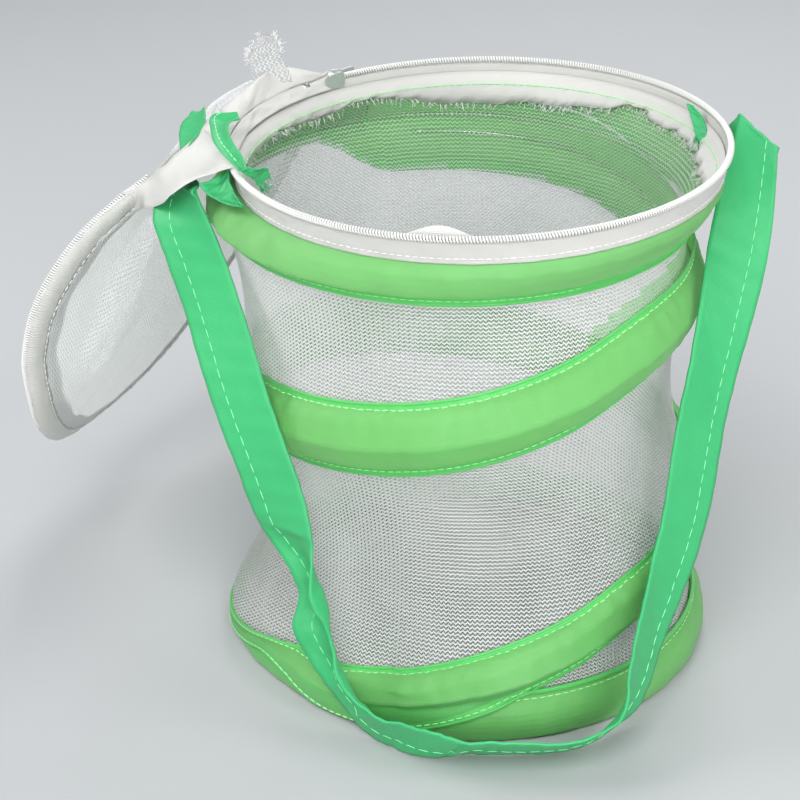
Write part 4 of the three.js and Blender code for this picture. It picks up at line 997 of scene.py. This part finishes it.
one = [(-120.5, 39.9, 217.0), (-123.5, 33.3, 215.0), (-123.9, 22.2, 213.5), (-121.5, 6.7, 213.0)]
other = [(-115.2, 38.8, 219.5), (-113.5, 28.2, 219.0), (-113.6, 17.6, 217.5), (-117.9, 6.4, 214.5)]
scrap = strip("strap_scrap", one, other, strap_cloth, "rim", bow=1.0)
curl_left = [(-97.9, 8.4, 228.5), (-108.0, 8.6, 227.0), (-107.3, -4.8, 226.5), (-104.3, -17.5, 225.0),
             (-99.9, -25.6, 223.5), (-94.3, -34.2, 222.0)]
curl_right = [(-96.5, 2.7, 228.5), (-99.8, -0.4, 227.5), (-99.5, -10.3, 227.0), (-96.5, -19.8, 226.0),
              (-92.5, -28.9, 224.5), (-89.6, -37.4, 222.2)]
curl = strip("strap_curl", curl_left, curl_right, strap_cloth, "rim", bow=1.6)
seam = smooth_line(curl_left, 30)[4:] * 0.72 + smooth_line(curl_right, 30)[4:] * 0.28
seam = seam + np.array([0, -0.3, 1.5])
stitches("curl_stitches", seam, strap_thread, "rim", radius=0.25)
one = [(-93.5, -36.0, 221.5), (-89.6, -34.1, 218.5), (-87.2, -31.4, 215.0), (-85.2, -31.1, 212.0)]
other = [(-91.1, -33.5, 221.5), (-86.4, -28.8, 219.0), (-83.3, -21.1, 216.0), (-83.0, -21.5, 213.0)]
tuck = strip("strap_tuck", one, other, strap_cloth, "rim", bow=0.8)
one = [(-110.1, -24.3, 210.5), (-107.4, -27.6, 208.5), (-100.2, -35.4, 207.5), (-93.4, -43.3, 209.5)]
other = [(-98.6, -19.3, 216.0), (-98.2, -23.9, 214.0), (-96.0, -33.9, 212.0), (-91.0, -45.8, 211.0)]
fold = strip("strap_fold", one, other, strap_cloth, "rim", bow=2.0, crumple=0.8)
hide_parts("strap_tab_left")
one = [(84.4, 40.7, 223.0), (86.6, 37.7, 218.0), (87.6, 33.1, 214.5), (89.4, 28.2, 211.0)]
other = [(87.1, 38.4, 223.0), (90.9, 35.2, 219.0), (92.4, 29.3, 215.5), (91.6, 27.2, 211.5)]
frayed = strip("strap_end_right", one, other, strap_cloth, "rim", bow=0.6)
ends = np.array([(89.4, 28.2, 211.4), (90.4, 27.8, 211.4), (91.4, 27.4, 211.7), (88.5, 30.5, 212.7)])
fuzz("strap_fray_right", ends, np.array([(-0.1, -0.5, -1.0)] * 4), strap_cloth, "rim", 40, 4.0, 0.3)
ends = np.array([(-85.2, -31.1, 212.4), (-84.2, -27.0, 212.4), (-83.2, -22.4, 213.2), (-84.6, -29.0, 212.2)])
fuzz("strap_fray_left", ends, np.array([(0.8, 0.2, -0.8)] * 4), strap_cloth, "rim", 50, 4.0, 0.4)
rows = [[hoop_point(t, s, 0.8) for s in np.linspace(0.12, 0.97, 9)] for t in np.linspace(7.5, 22.5, 12)]
tab = surface("strap_tab", rows, strap_cloth, "rim", thickness=0.8)
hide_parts("strap_tab_right")

# The zip's stops and the wires' clips
# Zinc alloy, cast and tumbled to a satin finish. A stop is pinched round the coil's end, and a clip is a short
# tube crimped over the two ends of a wire.

zinc = new_material("satin zinc", "#B4B7BA", 0.38, Metallic=1.0)[0]

for label, turn in (("back", 138.6), ("front", -172.6)):
    line = [in_rim(turn + d, TEETH_R, TEETH_Z) for d in (-0.9, -0.3, 0.3, 0.9)]
    stop = tubes("zip_stop_" + label + "_shape", [line], 1.7, 10, zinc, "rim")
    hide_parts("zip_stop_" + label)
line = [on_wall(-146.25 + d, HOOP_Z, WIRE_OUT) for d in np.linspace(-5, 5, 7)]
ferrule = tubes("hoop_ferrule_shape", [line], 1.3, 12, zinc, "rim")
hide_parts("hoop_ferrule")
line = [polar(33.75 + d, RING_R, RING_Z) for d in np.linspace(-5, 5, 7)]
ferrule = tubes("base_ferrule_shape", [line], 1.3, 12, zinc, "base")
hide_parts("base_ferrule")

# The floor, the light and the camera
# A pale paper floor, five soft lamps aimed at the cage and a grey room. The camera stands where the
# photograph's stood.

AIM = Vector((0, 0, 0.1))

bpy.ops.mesh.primitive_plane_add(size=1)
ground = bpy.context.object
ground.name = "floor_plane"
ground.scale = (6, 6, 1)
bpy.ops.object.transform_apply(scale=True)
paper = new_material("pale paper floor", "#A9ABAD", 0.9)[0]
ground.data.materials.append(paper)

world = bpy.data.worlds.new("room")
bpy.context.scene.world = world
world.use_nodes = True
room = world.node_tree.nodes["Background"]
room.inputs[0].default_value = srgb("#D9DCE0")
room.inputs[1].default_value = 0.45

lamps = [("key", (-0.25, -1.1, 1.3), 0.75, 17), ("low front", (0.3, -1.5, 0.4), 0.8, 17),
         ("left", (-1.1, 0.1, 0.9), 0.6, 10), ("right", (1.0, -0.4, 1.0), 0.7, 7),
         ("back", (0.2, 0.95, 1.0), 0.6, 9)]
for name, place, size, power in lamps:
    bpy.ops.object.light_add(type="AREA", location=place)
    light = bpy.context.object
    light.name = name
    light.data.size = size
    light.data.energy = power
    light.rotation_euler = (AIM - Vector(place)).to_track_quat("-Z", "Y").to_euler()

bpy.ops.object.camera_add(location=(0, -0.8254, 0.5349), rotation=(62.441 * RAD, 0, 2.2345 * RAD))
camera = bpy.context.object
camera.data.sensor_width = 36
camera.data.lens = 99
bpy.context.scene.camera = camera
scene = bpy.context.scene
scene.view_settings.view_transform = "Standard"
scene.cycles.transparent_max_bounces = 24
scene.cycles.max_bounces = 8
